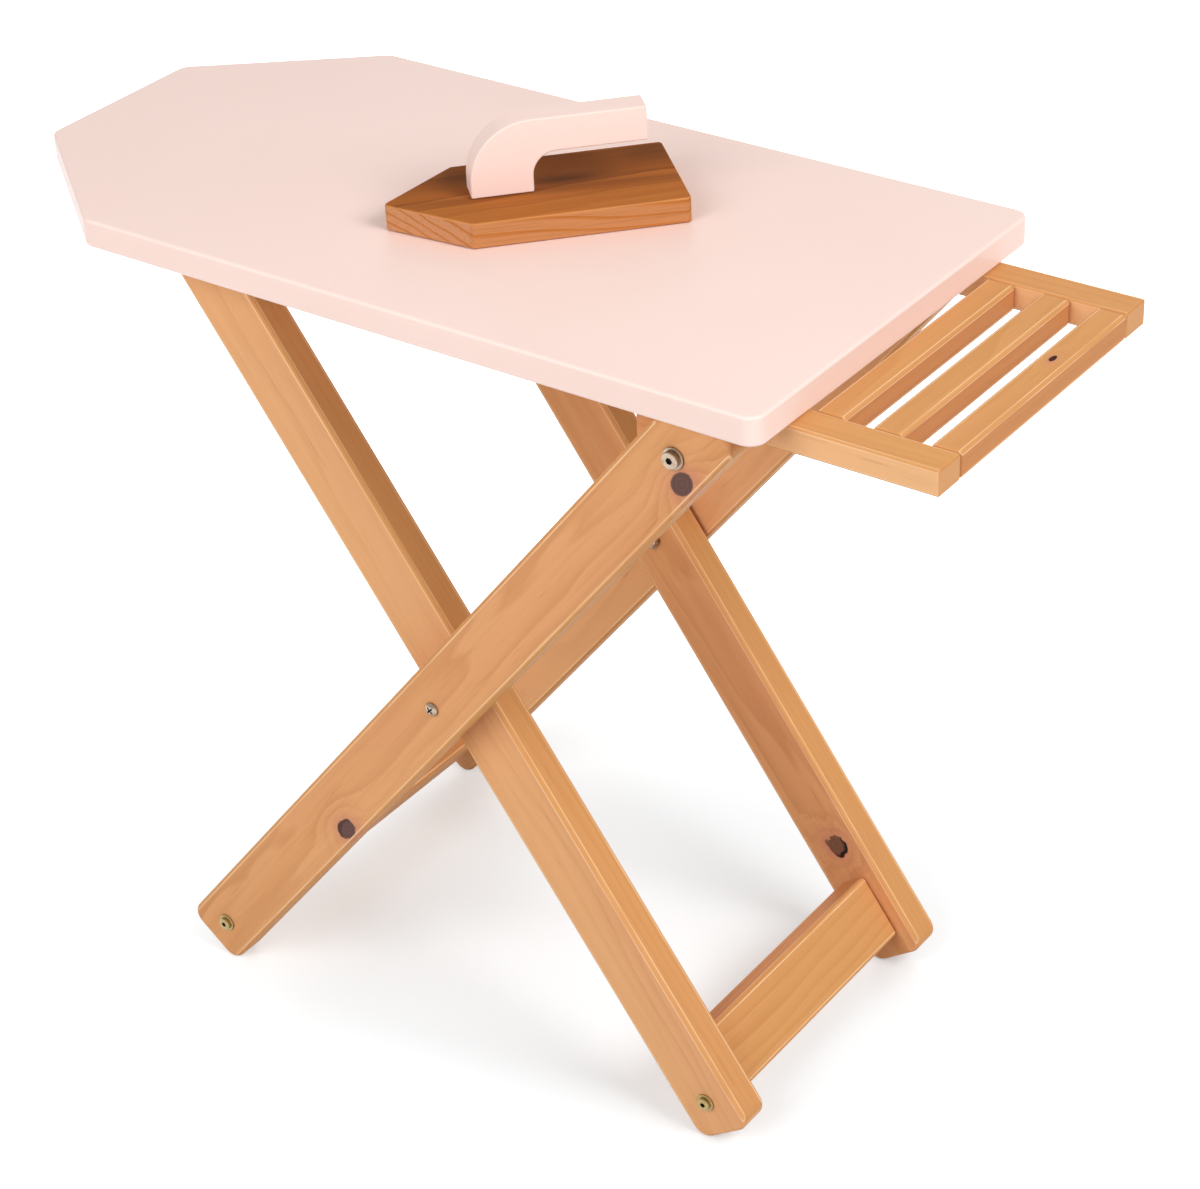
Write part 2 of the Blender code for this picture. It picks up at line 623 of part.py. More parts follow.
def make_inner_frame(frame):
    """Inner legs: the frame's origin is the crossing and its X axis runs down the legs."""
    corners = leg_outline(INNER_LEAN, INNER_UPPER, INNER_LOWER)
    corners = [(-x, z, radius) for x, z, radius in reversed(corners)]
    legs = make_legs("inner", frame, corners, INNER_FACE, [(0.0, CROSS_SCREW_RADIUS)])
    make_foot_joints("inner", frame, legs, INNER_FACE, INNER_LOWER, -1, -1)
    rod_x = -INNER_UPPER - TOP_ROD_ABOVE
    rod = dowel("inner_top_rod", TOP_ROD_RADIUS, 2 * (INNER_INNER + TOP_ROD_DEPTH), frame,
                (rod_x, 0.0, 0.0))
    rod.data.materials.clear()
    rod.data.materials.append(PINE)
    for (_, side), leg in zip(SIDES, legs):
        mouth = (rod_x, side * (INNER_INNER - CUT_OVERRUN), 0.0)
        bottom = (rod_x, side * (INNER_INNER + TOP_ROD_DEPTH + SEAT), 0.0)
        bore(leg, frame, mouth, bottom, TOP_ROD_RADIUS + HOLE_CLEARANCE, sides=ROUND_STEPS)


def make_crossing(frame):
    """Pan head screws with washers and domed nuts where the legs cross, carried by the outer frame."""
    shank = CROSS_SCREW_RADIUS
    x = -OUTER_UPPER
    length = OUTER_FACE + SEAT - (INNER_INNER - SEAT) + NUT_ENTRY
    head = CROSS_HEAD_RADIUS
    rise = CROSS_HEAD_HEIGHT
    points = dome(head, CROSS_HEAD_RIM, rise)
    points += [(head, 0.0), (shank, 0.0), (shank, -length), (0.0, -length)]
    for label, side in SIDES:
        name = "cross_screw_" + label
        seat = (x, side * (OUTER_FACE + SEAT), 0.0)
        screw = place(name, profile(name, points), NICKEL, frame, seat, -side * QUARTER)
        turn_round(screw)
        for size in ((CROSS_SLOT_LENGTH, CROSS_SLOT_WIDTH), (CROSS_SLOT_WIDTH, CROSS_SLOT_LENGTH)):
            slot = block(name + "_slot", (*size, 2 * CROSS_SLOT_DEPTH))
            cut(screw, new_cutter(name + "_slot", slot, screw, (0.0, 0.0, rise)))
        cap_nut("cross_nut_" + label, shank, frame, (x, side * (INNER_INNER - SEAT), 0.0), side)
        washer("cross_washer_" + label, shank, frame, (x, side * (INNER_FACE + LEG_GAP / 2), 0.0))


# Toy iron

def make_iron(frame):
    """Home-plate base with an open hook of a handle, screwed on from below."""
    tip = -IRON_LENGTH / 2
    half = IRON_WIDTH / 2
    corners = [(tip, 0.0, IRON_CORNER), (tip + IRON_SHOULDER, -half, IRON_CORNER),
               (-tip, -half, IRON_CORNER), (-tip, half, IRON_CORNER),
               (tip + IRON_SHOULDER, half, IRON_CORNER)]
    mesh = plate("iron_base", corners, IRON_THICK)
    base = soften(place("iron_base", mesh, STAINED_PINE, frame, (0.0, 0.0, IRON_THICK / 2)), IRON_EDGE)
    front = tip + HANDLE_FROM_TIP
    foot = IRON_THICK + SEAT
    under = foot + HANDLE_HEIGHT - HANDLE_BAR
    top = foot + HANDLE_HEIGHT
    corners = [(front, foot, 0.0), (front + HANDLE_POST, foot, 0.0),
               (front + HANDLE_POST, under, HANDLE_FILLET), (front + HANDLE_LENGTH, under, 0.0),
               (front + HANDLE_LENGTH, top, 0.0), (front, top, HANDLE_BEND)]
    mesh = plate("iron_handle", corners, HANDLE_THICK, upright=True)
    handle = soften(place("iron_handle", mesh, PINK_PAINT, frame), HANDLE_EDGE)
    length = IRON_THICK + IRON_SCREW_BITE
    first = front + HANDLE_POST / 2 - IRON_SCREW_SPACING * (IRON_SCREW_COUNT - 1) / 2
    hole = WOOD_SCREW_RADIUS + HOLE_CLEARANCE
    for index in range(IRON_SCREW_COUNT):
        x = first + IRON_SCREW_SPACING * index
        screw_hole(base, frame, x, 0.0, SEAT, IRON_THICK + CUT_OVERRUN)
        bore(handle, frame, (x, 0.0, foot - CUT_OVERRUN), (x, 0.0, length + 2 * SEAT), hole)
        wood_screw(f"iron_screw_{index + 1}", length, frame, (x, 0.0, SEAT))


# Assembly: each moving group hangs on an empty at its own joint

def main():
    root = new_empty("board_frame", None, (0.0, 0.0, 0.0))
    outer = new_empty("outer_fold_pivot", root, (PIVOT_X, 0.0, PIVOT_Z), turn_y=-OUTER_LEAN)
    inner = new_empty("inner_fold_pivot", outer, (-OUTER_UPPER, 0.0, 0.0), turn_y=OUTER_LEAN + INNER_LEAN)
    iron_place = (END_X - IRON_FROM_END, IRON_OFFSET, BOARD_TOP + SEAT)
    iron = new_empty("iron_place", root, iron_place, turn_z=IRON_YAW)
    make_board(root)
    make_rails(root)
    make_rest(root)
    make_pivots(root)
    make_outer_frame(outer)
    make_crossing(outer)
    make_inner_frame(inner)
    make_iron(iron)


main()
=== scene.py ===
"""Dresses the toy ironing board: lacquered pine, pink paint, plated fasteners, studio floor and camera.

Metres, +Z up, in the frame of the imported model. Every wooden piece is built along its own X axis,
so that its grain follows its length, and is drilled for the fasteners that pass through it.
"""
import json
import math
from collections import namedtuple
from functools import cached_property, partial, reduce

import bmesh
import bpy
from mathutils import Matrix, Vector


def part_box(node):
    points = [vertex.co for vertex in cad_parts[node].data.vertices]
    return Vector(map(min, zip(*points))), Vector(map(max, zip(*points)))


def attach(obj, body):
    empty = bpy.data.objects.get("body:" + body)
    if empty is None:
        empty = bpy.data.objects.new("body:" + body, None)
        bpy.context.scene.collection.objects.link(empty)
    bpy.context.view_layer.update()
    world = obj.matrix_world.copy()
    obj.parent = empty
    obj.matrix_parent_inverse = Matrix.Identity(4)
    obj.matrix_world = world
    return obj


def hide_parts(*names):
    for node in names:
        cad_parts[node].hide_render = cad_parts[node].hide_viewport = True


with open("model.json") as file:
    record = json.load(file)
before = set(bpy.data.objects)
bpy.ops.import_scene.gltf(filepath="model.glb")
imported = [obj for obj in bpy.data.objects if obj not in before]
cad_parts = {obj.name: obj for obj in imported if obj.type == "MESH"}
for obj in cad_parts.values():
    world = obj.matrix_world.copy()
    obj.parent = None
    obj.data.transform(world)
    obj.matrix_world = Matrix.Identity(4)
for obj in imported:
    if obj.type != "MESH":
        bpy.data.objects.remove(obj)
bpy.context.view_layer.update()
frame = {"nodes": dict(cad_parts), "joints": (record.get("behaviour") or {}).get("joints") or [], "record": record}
RECORD = frame["record"]
BODY_OF = {node: body for body, nodes in RECORD["behaviour"]["bodies"].items() for node in nodes}
SLOT_OF = {part["node"]: part["material_slot"] for part in RECORD["subparts"]}

# The photograph's camera
IMAGE_WIDTH = 1200
CAMERA_PLACE = Vector((1.02266, -1.31259, 1.31800))
CAMERA_AZIMUTH = math.radians(37.0934)
CAMERA_ELEVATION = math.radians(32.0521)
CAMERA_ROLL = math.radians(-2.8169)
FOCAL_PIXELS = 3123.67
SENSOR = 36.0

# How finely shapes are divided
QUARTER = math.radians(90)
ARC_STEP = math.radians(6)
EDGE_ANGLE = math.radians(40)
EDGE_SEGMENTS = 4
TURN_STEPS = 48
HOLE_STEPS = 32
HEXAGON = 6
RIM_STEPS = 4

# Shapes shared with the solids
SEAT = 0.0003
CLEARANCE = 0.0003
OVERRUN = 0.004
LEG_WIDTH = 0.045
LEG_THICK = 0.022
LEG_CORNER = 0.010
LEG_EDGE = 0.0025
OUTER_LEAN = math.radians(51.1)
INNER_LEAN = math.radians(54.6)
INNER_TOP_GAP = 0.0013
BOARD_TIP = 0.121
BOARD_NOSE = 0.107
BOARD_CORNER = 0.010
BOARD_EDGE = 0.002
RAIL_EDGE = 0.0015
SLAT_EDGE = 0.002
IRON_LENGTH = 0.174
IRON_WIDTH = 0.082
IRON_THICK = 0.016
IRON_SHOULDER = 0.046
IRON_CORNER = 0.003
IRON_EDGE = 0.0012
IRON_YAW = math.radians(47)
IRON_FROM_END = 0.2495
IRON_OFFSET = -0.0018
HANDLE_THICK = 0.018
HANDLE_FROM_TIP = 0.051
HANDLE_LENGTH = 0.105
HANDLE_HEIGHT = 0.045
HANDLE_POST = 0.037
HANDLE_BAR = 0.021
HANDLE_BEND = 0.036
HANDLE_FILLET = 0.014
HANDLE_EDGE = 0.001

# Fasteners shared with the solids
Bolt = namedtuple("Bolt", "shank flange flange_height head head_height socket")
PIVOT_BOLT = Bolt(shank=0.0030, flange=0.0068, flange_height=0.0015,
                  head=0.0052, head_height=0.0030, socket=0.0022)
FOOT_BOLT = Bolt(shank=0.0025, flange=0.0060, flange_height=0.0012,
                 head=0.0043, head_height=0.0022, socket=0.0018)
SOCKET_DEPTH = 0.0020
RIM_ROUND = 0.0006
CROSS_SHANK = 0.0025
CROSS_HEAD = 0.0046
CROSS_RISE = 0.0026
CROSS_RIM = 0.0006
RECESS_LENGTH = 0.0050
RECESS_WIDTH = 0.0011
RECESS_DEPTH = 0.0013
NUT_RADIUS = 0.0062
NUT_BASE = 0.0032
NUT_HEIGHT = 0.0075
NUT_BORE_DEPTH = 0.0055
BARREL_RADIUS = 0.0040
BARREL_LENGTH = 0.014
BARREL_SLOT_DEPTH = 0.0012
WOOD_SHANK = 0.0019
WOOD_HEAD = 0.0040
WOOD_TAPER = 0.004

HALF_LEG = LEG_WIDTH / 2
JOINTS = {joint["name"]: joint for joint in frame["joints"]}
PIVOT = Vector(JOINTS["leg_fold"]["pos_m"])
CROSSING = Vector(JOINTS["cross_fold"]["pos_m"])
OUTER_FRAME = Matrix.Translation(PIVOT) @ Matrix.Rotation(-OUTER_LEAN, 4, "Y")
INNER_FRAME = Matrix.Translation(CROSSING) @ Matrix.Rotation(INNER_LEAN, 4, "Y")
OUTER_UPPER = (PIVOT - CROSSING).length
SIDES = {"near": -1, "far": 1}


# Node trees

class Graph:
    """Builds the nodes of a material or a world from expressions."""

    def __init__(self, owner):
        owner.use_nodes = True
        self.tree = owner.node_tree

    @cached_property
    def place(self):
        """The piece's own coordinates."""
        return self.new("TexCoord").outputs["Object"]

    def new(self, kind):
        return self.tree.nodes.new("ShaderNode" + kind)

    def feed(self, socket, value):
        """Links an output to the socket, or sets a number, a vector or a colour on it."""
        if isinstance(value, bpy.types.NodeSocket):
            self.tree.links.new(value, socket)
        elif socket.type == "RGBA":
            socket.default_value = (*value, 1.0)
        else:
            socket.default_value = value

    def math(self, operation, *values):
        node = self.new("Math")
        node.operation = operation
        for socket, value in zip(node.inputs, values):
            self.feed(socket, value)
        return node.outputs[0]

    def add(self, *values):
        return reduce(partial(self.math, "ADD"), values)

    def times(self, *values):
        return reduce(partial(self.math, "MULTIPLY"), values)

    def less(self, a, b):
        return self.math("SUBTRACT", a, b)

    def size(self, value):
        """The value without its sign."""
        return self.math("ABSOLUTE", value)

    def length(self, a, b):
        return self.math("SQRT", self.add(self.times(a, a), self.times(b, b)))

    def phase(self, value, period):
        """How far along its period the value is, from 0 to 1."""
        return self.math("FRACT", self.math("DIVIDE", value, period))

    def bell(self, distance, width):
        """1 at no distance, falling off smoothly over the width."""
        share = self.math("DIVIDE", distance, width)
        return self.math("EXPONENT", self.times(share, share, -1.0))

    def step(self, value, low, high):
        """0 at low, 1 at high, and smooth between them; low may be the larger of the two."""
        node = self.new("MapRange")
        node.interpolation_type = "SMOOTHSTEP"
        for socket, number in zip(node.inputs, (value, low, high, 0.0, 1.0)):
            self.feed(socket, number)
        return node.outputs[0]

    def axes(self):
        node = self.new("SeparateXYZ")
        self.feed(node.inputs[0], self.place)
        return node.outputs

    def noise(self, waves, shift=(0.0, 0.0, 0.0), detail=2.0, roughness=0.5):
        """Noise with so many waves a metre along each axis, moved by the shift."""
        spread = self.new("Mapping")
        self.feed(spread.inputs["Vector"], self.place)
        self.feed(spread.inputs["Scale"], waves)
        self.feed(spread.inputs["Location"], shift)
        node = self.new("TexNoise")
        self.feed(node.inputs["Vector"], spread.outputs[0])
        self.feed(node.inputs["Scale"], 1.0)
        self.feed(node.inputs["Detail"], detail)
        self.feed(node.inputs["Roughness"], roughness)
        return node.outputs[0]

    def grain(self, along, across, shift=(0.0, 0.0, 0.0), **figure):
        """Noise drawn out along X, as the marks in wood are."""
        return self.noise((along, across, across), shift, **figure)

    def even(self, waves, **figure):
        """Noise that is the same along every axis."""
        return self.noise((waves, waves, waves), **figure)

    def ramp(self, factor, stops):
        node = self.new("ValToRGB")
        band = node.color_ramp
        for place, colour in stops[1:-1]:
            band.elements.new(place)
        for element, (place, colour) in zip(band.elements, stops):
            element.position = place
            element.color = (*colour, 1.0)
        self.feed(node.inputs[0], factor)
        return node.outputs[0]

    def mix(self, factor, a, b):
        node = self.new("Mix")
        node.data_type = "RGBA"
        self.feed(node.inputs[0], factor)
        self.feed(node.inputs[6], a)
        self.feed(node.inputs[7], b)
        return node.outputs[2]

    def layer(self, colour, shade, pattern, low, high, share):
        """Lays a shade over the colour as the pattern goes from low to high, by at most the share."""
        return self.mix(self.times(self.step(pattern, low, high), share), colour, shade)


class Surface(Graph):
    """A material whose nodes end in its shader."""

    def __init__(self, name):
        self.material = bpy.data.materials.new(name)
        super().__init__(self.material)
        self.shader = self.tree.nodes["Principled BSDF"]

    def bump(self, height, depth, strength):
        node = self.new("Bump")
        self.feed(node.inputs["Height"], height)
        self.feed(node.inputs["Distance"], depth)
        self.feed(node.inputs["Strength"], strength)
        self.feed(self.shader.inputs["Normal"], node.outputs[0])

    def finish(self, colour, roughness, metallic=0.0, specular=0.5):
        values = {"Base Color": colour, "Roughness": roughness, "Metallic": metallic,
                  "Specular IOR Level": specular}
        for name, value in values.items():
            self.feed(self.shader.inputs[name], value)
        return self.material


# Wood

EARLY_WOOD = (0.785, 0.395, 0.175)
PLAIN_WOOD = (0.759, 0.3722, 0.161)
MID_WOOD = (0.720, 0.338, 0.140)
# Latewood in the grain, and also the painted shade on the sides of the slats and crossbars
LATEWOOD_AND_SHADE = (0.540, 0.215, 0.068)
PALE_WOOD = (0.830, 0.445, 0.195)
# Painted light on the legs' broad faces; on the rails' sides painted light and partly paler wood
PALE_LIT_WOOD = (0.920, 0.545, 0.275)
BLUSH_WOOD = (0.735, 0.315, 0.165)
# Painted shade, in a golden tone, on every pine piece's Z faces
GOLDEN_SHADE_WOOD = (0.625, 0.305, 0.088)
END_WOOD = (0.520, 0.215, 0.070)
# Painted highlight along the long edges
EDGE_HIGHLIGHT_WOOD = (0.960, 0.640, 0.370)
PORE_WOOD = (0.380, 0.140, 0.050)
KNOT_CORE = (0.158, 0.082, 0.070)
CRACKED_CORE = (0.225, 0.100, 0.058)
CHIP_CORE = (0.060, 0.010, 0.006)
KNOT_RIM = (0.022, 0.010, 0.007)
KNOT_HALO = (0.610, 0.235, 0.155)
WOOD_STOPS = [(0.0, EARLY_WOOD), (0.50, MID_WOOD), (0.90, LATEWOOD_AND_SHADE), (1.0, EARLY_WOOD)]

# Growth rings: their width, how far they wander, wave and climb, and how they bend round a knot
RING_WIDTH = 0.0056
RING_WANDER = 0.030
RING_WAVE = 0.0035
RING_CLIMB = 0.012
KNOT_BULGE = 2.6 * RING_WIDTH
KNOT_REACH = 2.4
KNOT_SLIP = 0.45
KNOT_TEARS = 330.0

# Lacquer: relief of the grain, dullness, gloss, and how deep the darker end grain shows round an end
GRAIN_RELIEF = 0.00012
LACQUER_DULLNESS = 0.44
LACQUER_GLOSS = 0.06
END_START = 0.0010
END_FULL = 0.0004

# How a piece was sawn, with its painted light and shade: a seed for its figure, the place of the tree's
# centre in its Y and Z, a tint painted on its Y faces and how much of it, and how strongly its rings show
# On the legs the Y-face tint is painted light, on the rails painted light and partly paler wood,
# and on the slats and crossbars painted shade
Timber = namedtuple("Timber", "seed pith tint share grain", defaults=(MID_WOOD, 0.0, 1.0))
SEED_STEP = (3.7, 1.3, 2.1)
SLAT_PITH = (0.012, -0.030)
BLOCK_PITH = (0.020, -0.030)
TIMBER = {
    "rail_near": Timber(1.0, (0.030, -0.020), PALE_LIT_WOOD, 0.70),
    "rail_far": Timber(2.0, (-0.030, -0.020), PALE_LIT_WOOD, 0.70),
    "rest_slat_1": Timber(3.0, SLAT_PITH, LATEWOOD_AND_SHADE, 0.75),
    "rest_slat_2": Timber(4.0, SLAT_PITH, LATEWOOD_AND_SHADE, 0.75),
    "rest_slat_3": Timber(5.0, SLAT_PITH, LATEWOOD_AND_SHADE, 0.75),
    "pivot_block_near": Timber(6.0, BLOCK_PITH),
    "pivot_block_far": Timber(7.0, BLOCK_PITH),
    "outer_leg_near": Timber(11.0, (0.040, 0.016), PALE_LIT_WOOD, 0.03),
    "outer_leg_far": Timber(12.0, (-0.034, -0.012), PALE_LIT_WOOD, 0.35),
    "inner_leg_near": Timber(13.0, (0.045, -0.014), PALE_LIT_WOOD, 0.27),
    "inner_leg_far": Timber(14.0, (0.038, 0.018)),
    "outer_crossbar": Timber(15.0, (0.036, 0.034), LATEWOOD_AND_SHADE, 0.60, 1.7),
    "inner_crossbar": Timber(16.0, (0.040, -0.030), LATEWOOD_AND_SHADE, 0.60, 1.7),
    "inner_top_rod": Timber(17.0, (0.010, -0.030)),
}

# A branch's mark: place along and across the face, radius, axis of the branch, stretch along the grain,
# raggedness, direction of its dark side along and across the grain, how black that side is, and its core
Knot = namedtuple("Knot", "along across radius axis stretch ragged dark black core")
KNOTS = {
    "outer_leg_near": [
        Knot(along=0.283 - OUTER_UPPER, across=-0.0130, radius=0.0065, axis="Y", stretch=1.30,
             ragged=0.15, dark=(-0.6, 0.8), black=0.0, core=KNOT_CORE),
        Knot(along=-0.144 - OUTER_UPPER, across=-0.0138, radius=0.0064, axis="Y", stretch=1.40,
             ragged=0.35, dark=(-0.4, 0.9), black=0.45, core=KNOT_CORE),
    ],
    "inner_leg_far": [
        Knot(along=0.238, across=0.003, radius=0.0076, axis="Y", stretch=1.05,
             ragged=0.70, dark=(0.75, 0.66), black=1.0, core=CRACKED_CORE),
    ],
    "rest_slat_3": [
        Knot(along=0.024, across=0.0008, radius=0.0017, axis="Z", stretch=2.2,
             ragged=0.5, dark=(1.0, 0.0), black=1.0, core=CHIP_CORE),
    ],
}


def growth_rings(g, pith, shift, knots):
    """Phase of the growth rings at each point, and how far each point lies from each knot."""
    x, y, z = g.axes()
    wander = g.grain(2.2, 14.0, shift, detail=3.0, roughness=0.55)
    wave = g.grain(9.0, 60.0, shift)
    radius = g.length(g.less(y, pith[0]), g.less(z, pith[1]))
    radius = g.add(radius, g.times(wander, RING_WANDER), g.times(wave, RING_WAVE), g.times(x, RING_CLIMB))
    marks = []
    for knot in knots:
        u = g.times(g.less(x, knot.along), 1.0 / knot.stretch)
        v = g.less(z if knot.axis == "Y" else y, knot.across)
        torn = g.add(1.0 - knot.ragged / 2, g.times(g.even(KNOT_TEARS), knot.ragged))
        far = g.times(g.length(u, v), torn)
        slip = knot.radius * KNOT_SLIP
        beyond = g.times(g.length(g.add(u, knot.dark[0] * slip), g.add(v, knot.dark[1] * slip)), torn)
        marks.append((knot, far, beyond))
        radius = g.add(radius, g.times(g.bell(far, knot.radius * KNOT_REACH), KNOT_BULGE))
    return g.phase(radius, RING_WIDTH), marks


def paint_knots(g, colour, height, marks):
    """Reddish halo away from the dark side, core with faint whorls, and a black crescent on the dark side."""
    for knot, far, beyond in marks:
        size = knot.radius
        halo = g.times(g.bell(far, size * 2.0), g.less(0.85, g.times(g.step(beyond, size, size * 2.2), 0.50)))
        colour = g.mix(halo, colour, KNOT_HALO)
        whorl = g.times(g.phase(far, size * 0.4), 0.25)
        inside = g.step(far, size * 1.06, size * 0.92)
        colour = g.mix(inside, colour, g.mix(whorl, knot.core, KNOT_RIM))
        crescent = g.times(inside, g.step(beyond, size * 0.90, size * 1.15), knot.black)
        colour = g.mix(crescent, colour, KNOT_RIM)
        height = g.less(height, g.add(crescent, g.times(g.bell(g.less(far, size), size * 0.1), 0.5)))
    return colour, height


def pine(node, half, edge):
    """Lacquered pine, grain along X: rings about a pith, fibres, streaks, knots, and painted light and shade.

    half is the piece's half size, and edge the radius of its long edges, which get a painted highlight.
    """
    g = Surface(node + "_pine")
    timber = TIMBER[node]
    shift = [timber.seed * step for step in SEED_STEP]
    off_x, off_y, off_z = [g.size(axis) for axis in g.axes()]
    # Growth rings, stronger in some places than in others
    phase, marks = growth_rings(g, timber.pith, shift, KNOTS.get(node, ()))
    strength = g.step(g.grain(3.0, 26.0, shift), 0.25, 0.75)
    showing = g.times(g.add(0.15, g.times(strength, 0.45)), timber.grain)
    colour = g.mix(showing, PLAIN_WOOD, g.ramp(phase, WOOD_STOPS))
    # Broad bands, fine fibres and soft blotches
    bands = g.grain(2.4, 75.0, shift, detail=3.0)
    colour = g.layer(colour, LATEWOOD_AND_SHADE, bands, low=0.52, high=0.74, share=0.22)
    colour = g.layer(colour, PALE_WOOD, bands, low=0.46, high=0.30, share=0.35)
    fibres = g.grain(14.0, 700.0, shift, detail=3.0, roughness=0.6)
    colour = g.layer(colour, LATEWOOD_AND_SHADE, fibres, low=0.45, high=0.75, share=0.20)
    blotch = g.grain(4.0, 12.0, shift)
    colour = g.layer(colour, BLUSH_WOOD, blotch, low=0.35, high=0.75, share=0.45)
    # Painted shade in a golden tone on the Z faces, and on the Y faces the piece's tint: painted light on
    # legs and rails, painted shade on slats and crossbars
    flat, side = half[2] - edge / 2, half[2] - edge
    colour = g.layer(colour, GOLDEN_SHADE_WOOD, off_z, low=side, high=flat, share=0.50)
    colour = g.layer(colour, timber.tint, off_z, low=flat, high=side, share=timber.share)
    # Resin streaks, pores and knots
    resin = g.grain(22.0, 420.0, shift, detail=1.0)
    colour = g.layer(colour, LATEWOOD_AND_SHADE, resin, low=0.66, high=0.80, share=g.times(strength, 0.45))
    pores = g.grain(50.0, 1300.0, shift, detail=1.0)
    colour = g.layer(colour, PORE_WOOD, pores, low=0.68, high=0.80, share=0.25)
    height = g.add(g.times(fibres, 0.6), g.times(phase, 0.25), g.times(pores, 0.15))
    colour, height = paint_knots(g, colour, height, marks)
    # Darker ends, and a patchy painted highlight on each side of every long edge
    ends = g.step(off_x, half[0] - END_START, half[0] - END_FULL)
    colour = g.mix(g.times(ends, 0.55), colour, END_WOOD)
    inset = g.add(g.less(half[1], off_y), g.less(half[2], off_z))
    highlight = g.times(g.bell(g.less(inset, edge), edge * 0.15), g.less(1.0, ends))
    patchy = g.step(g.grain(18.0, 40.0, shift), 0.25, 0.60)
    colour = g.mix(g.times(highlight, g.add(0.30, g.times(patchy, 0.60))), colour, EDGE_HIGHLIGHT_WOOD)
    dull = g.add(LACQUER_DULLNESS, g.times(fibres, 0.14), g.times(strength, -0.04), g.times(highlight, -0.08))
    g.bump(g.add(height, g.times(highlight, 0.9)), GRAIN_RELIEF, 0.55)
    return g.finish(colour, dull, specular=LACQUER_GLOSS)


STAIN_LIGHT = (0.460, 0.148, 0.028)
STAIN_MID = (0.330, 0.086, 0.012)
STAIN_DARK = (0.120, 0.026, 0.004)
STAIN_SIDE = (0.528, 0.225, 0.087)
STAIN_TIP = (0.570, 0.265, 0.125)
# Painted highlight along the edges
STAIN_EDGE_HIGHLIGHT = (0.720, 0.340, 0.130)
# Painted shadow of the handle on the base, partly darker stain
SHADOW_STAIN = (0.058, 0.011, 0.002)
STAIN_STOPS = [(0.0, STAIN_LIGHT), (0.60, STAIN_MID), (0.92, STAIN_DARK), (1.0, STAIN_LIGHT)]
STAIN_RING = 0.0058
STAIN_PITH = (0.014, -0.060)
STAIN_WANDER = 0.016
STAIN_CLIMB = 0.030
STAIN_SHIFT = (3.1, 0.4, 1.7)
BAND_SHIFT = (0.2, 5.0, 2.0)
VARNISH_DULLNESS = 0.46
VARNISH_GLOSS = 0.03

# Dark streaks in the iron's base, painted shadow of the handle and partly darker stain: place along
# and across it, length, width and depth
Streak = namedtuple("Streak", "along across length width depth")
SHADOW_STREAKS = (Streak(0.022, 0.005, 0.030, 0.0078, 1.0), Streak(-0.036, 0.026, 0.016, 0.0110, 0.6),
                 Streak(0.074, 0.030, 0.022, 0.0090, 0.5))
STREAK_FRAY = 0.008


def stained_pine(name, half_height):
    """Iron base: darker varnish on flat faces, paler sides, and stain and painted handle shadow along its axis."""
    g = Surface(name)
    x, y, z = g.axes()
    off_z = g.size(z)
    wander = g.grain(5.0, 24.0, STAIN_SHIFT, detail=3.0)
    radius = g.length(g.less(y, STAIN_PITH[0]), g.less(z, STAIN_PITH[1]))
    phase = g.phase(g.add(radius, g.times(wander, STAIN_WANDER), g.times(x, STAIN_CLIMB)), STAIN_RING)
    # Flat faces: rings and bands, lighter on the near half and darker on the far half
    top = g.mix(0.45, g.ramp(phase, STAIN_STOPS), STAIN_MID)
    bands = g.grain(2.6, 58.0, BAND_SHIFT, detail=3.0)
    top = g.layer(top, STAIN_DARK, bands, low=0.53, high=0.70, share=0.50)
    top = g.layer(top, STAIN_LIGHT, bands, low=0.46, high=0.32, share=0.50)
    top = g.layer(top, STAIN_LIGHT, y, low=-0.004, high=-0.024, share=0.55)
    top = g.layer(top, STAIN_DARK, y, low=0.000, high=0.012, share=0.40)
    # Painted shadow of the handle, round and under it, partly darker stain
    for streak in SHADOW_STREAKS:
        across = g.add(y, g.times(wander, STREAK_FRAY), -STREAK_FRAY / 2 - streak.across)
        along = g.less(x, streak.along)
        dark = g.times(g.bell(across, streak.width), g.bell(along, streak.length), streak.depth)
        top = g.mix(dark, top, SHADOW_STAIN)
    # Sides, palest round the tip
    shoulder = IRON_SHOULDER - IRON_LENGTH / 2
    side = g.mix(g.step(x, shoulder, shoulder - IRON_CORNER), STAIN_SIDE, STAIN_TIP)
    side = g.layer(side, STAIN_LIGHT, phase, low=0.65, high=0.92, share=0.80)
    colour = g.mix(g.step(off_z, half_height - IRON_EDGE, half_height - IRON_EDGE / 3), side, top)
    # Fibres, and a painted highlight along the edges
    fibres = g.grain(20.0, 800.0, detail=3.0, roughness=0.6)
    colour = g.layer(colour, STAIN_DARK, fibres, low=0.45, high=0.75, share=0.22)
    arris_highlight = g.bell(g.less(off_z, half_height - IRON_EDGE * 0.5), IRON_EDGE * 0.35)
    colour = g.mix(g.times(arris_highlight, 0.55), colour, STAIN_EDGE_HIGHLIGHT)
    g.bump(g.add(g.times(fibres, 0.7), g.times(phase, 0.3)), GRAIN_RELIEF, 0.5)
    return g.finish(colour, g.add(VARNISH_DULLNESS, g.times(fibres, 0.14)), specular=VARNISH_GLOSS)


BEECH_LIGHT = (0.640, 0.430, 0.240)
BEECH_DARK = (0.480, 0.285, 0.140)
BEECH_FLECKS = (1400.0, 90.0, 1400.0)
BEECH_RELIEF = 0.00008
BEECH_DULLNESS = 0.6


def beech(name):
    """Plain turned pins: fine short flecks along Y."""
    g = Surface(name)
    flecks = g.noise(BEECH_FLECKS)
    g.bump(flecks, BEECH_RELIEF, 0.4)
    return g.finish(g.mix(g.step(flecks, 0.40, 0.75), BEECH_LIGHT, BEECH_DARK), BEECH_DULLNESS)


# Paint and metal

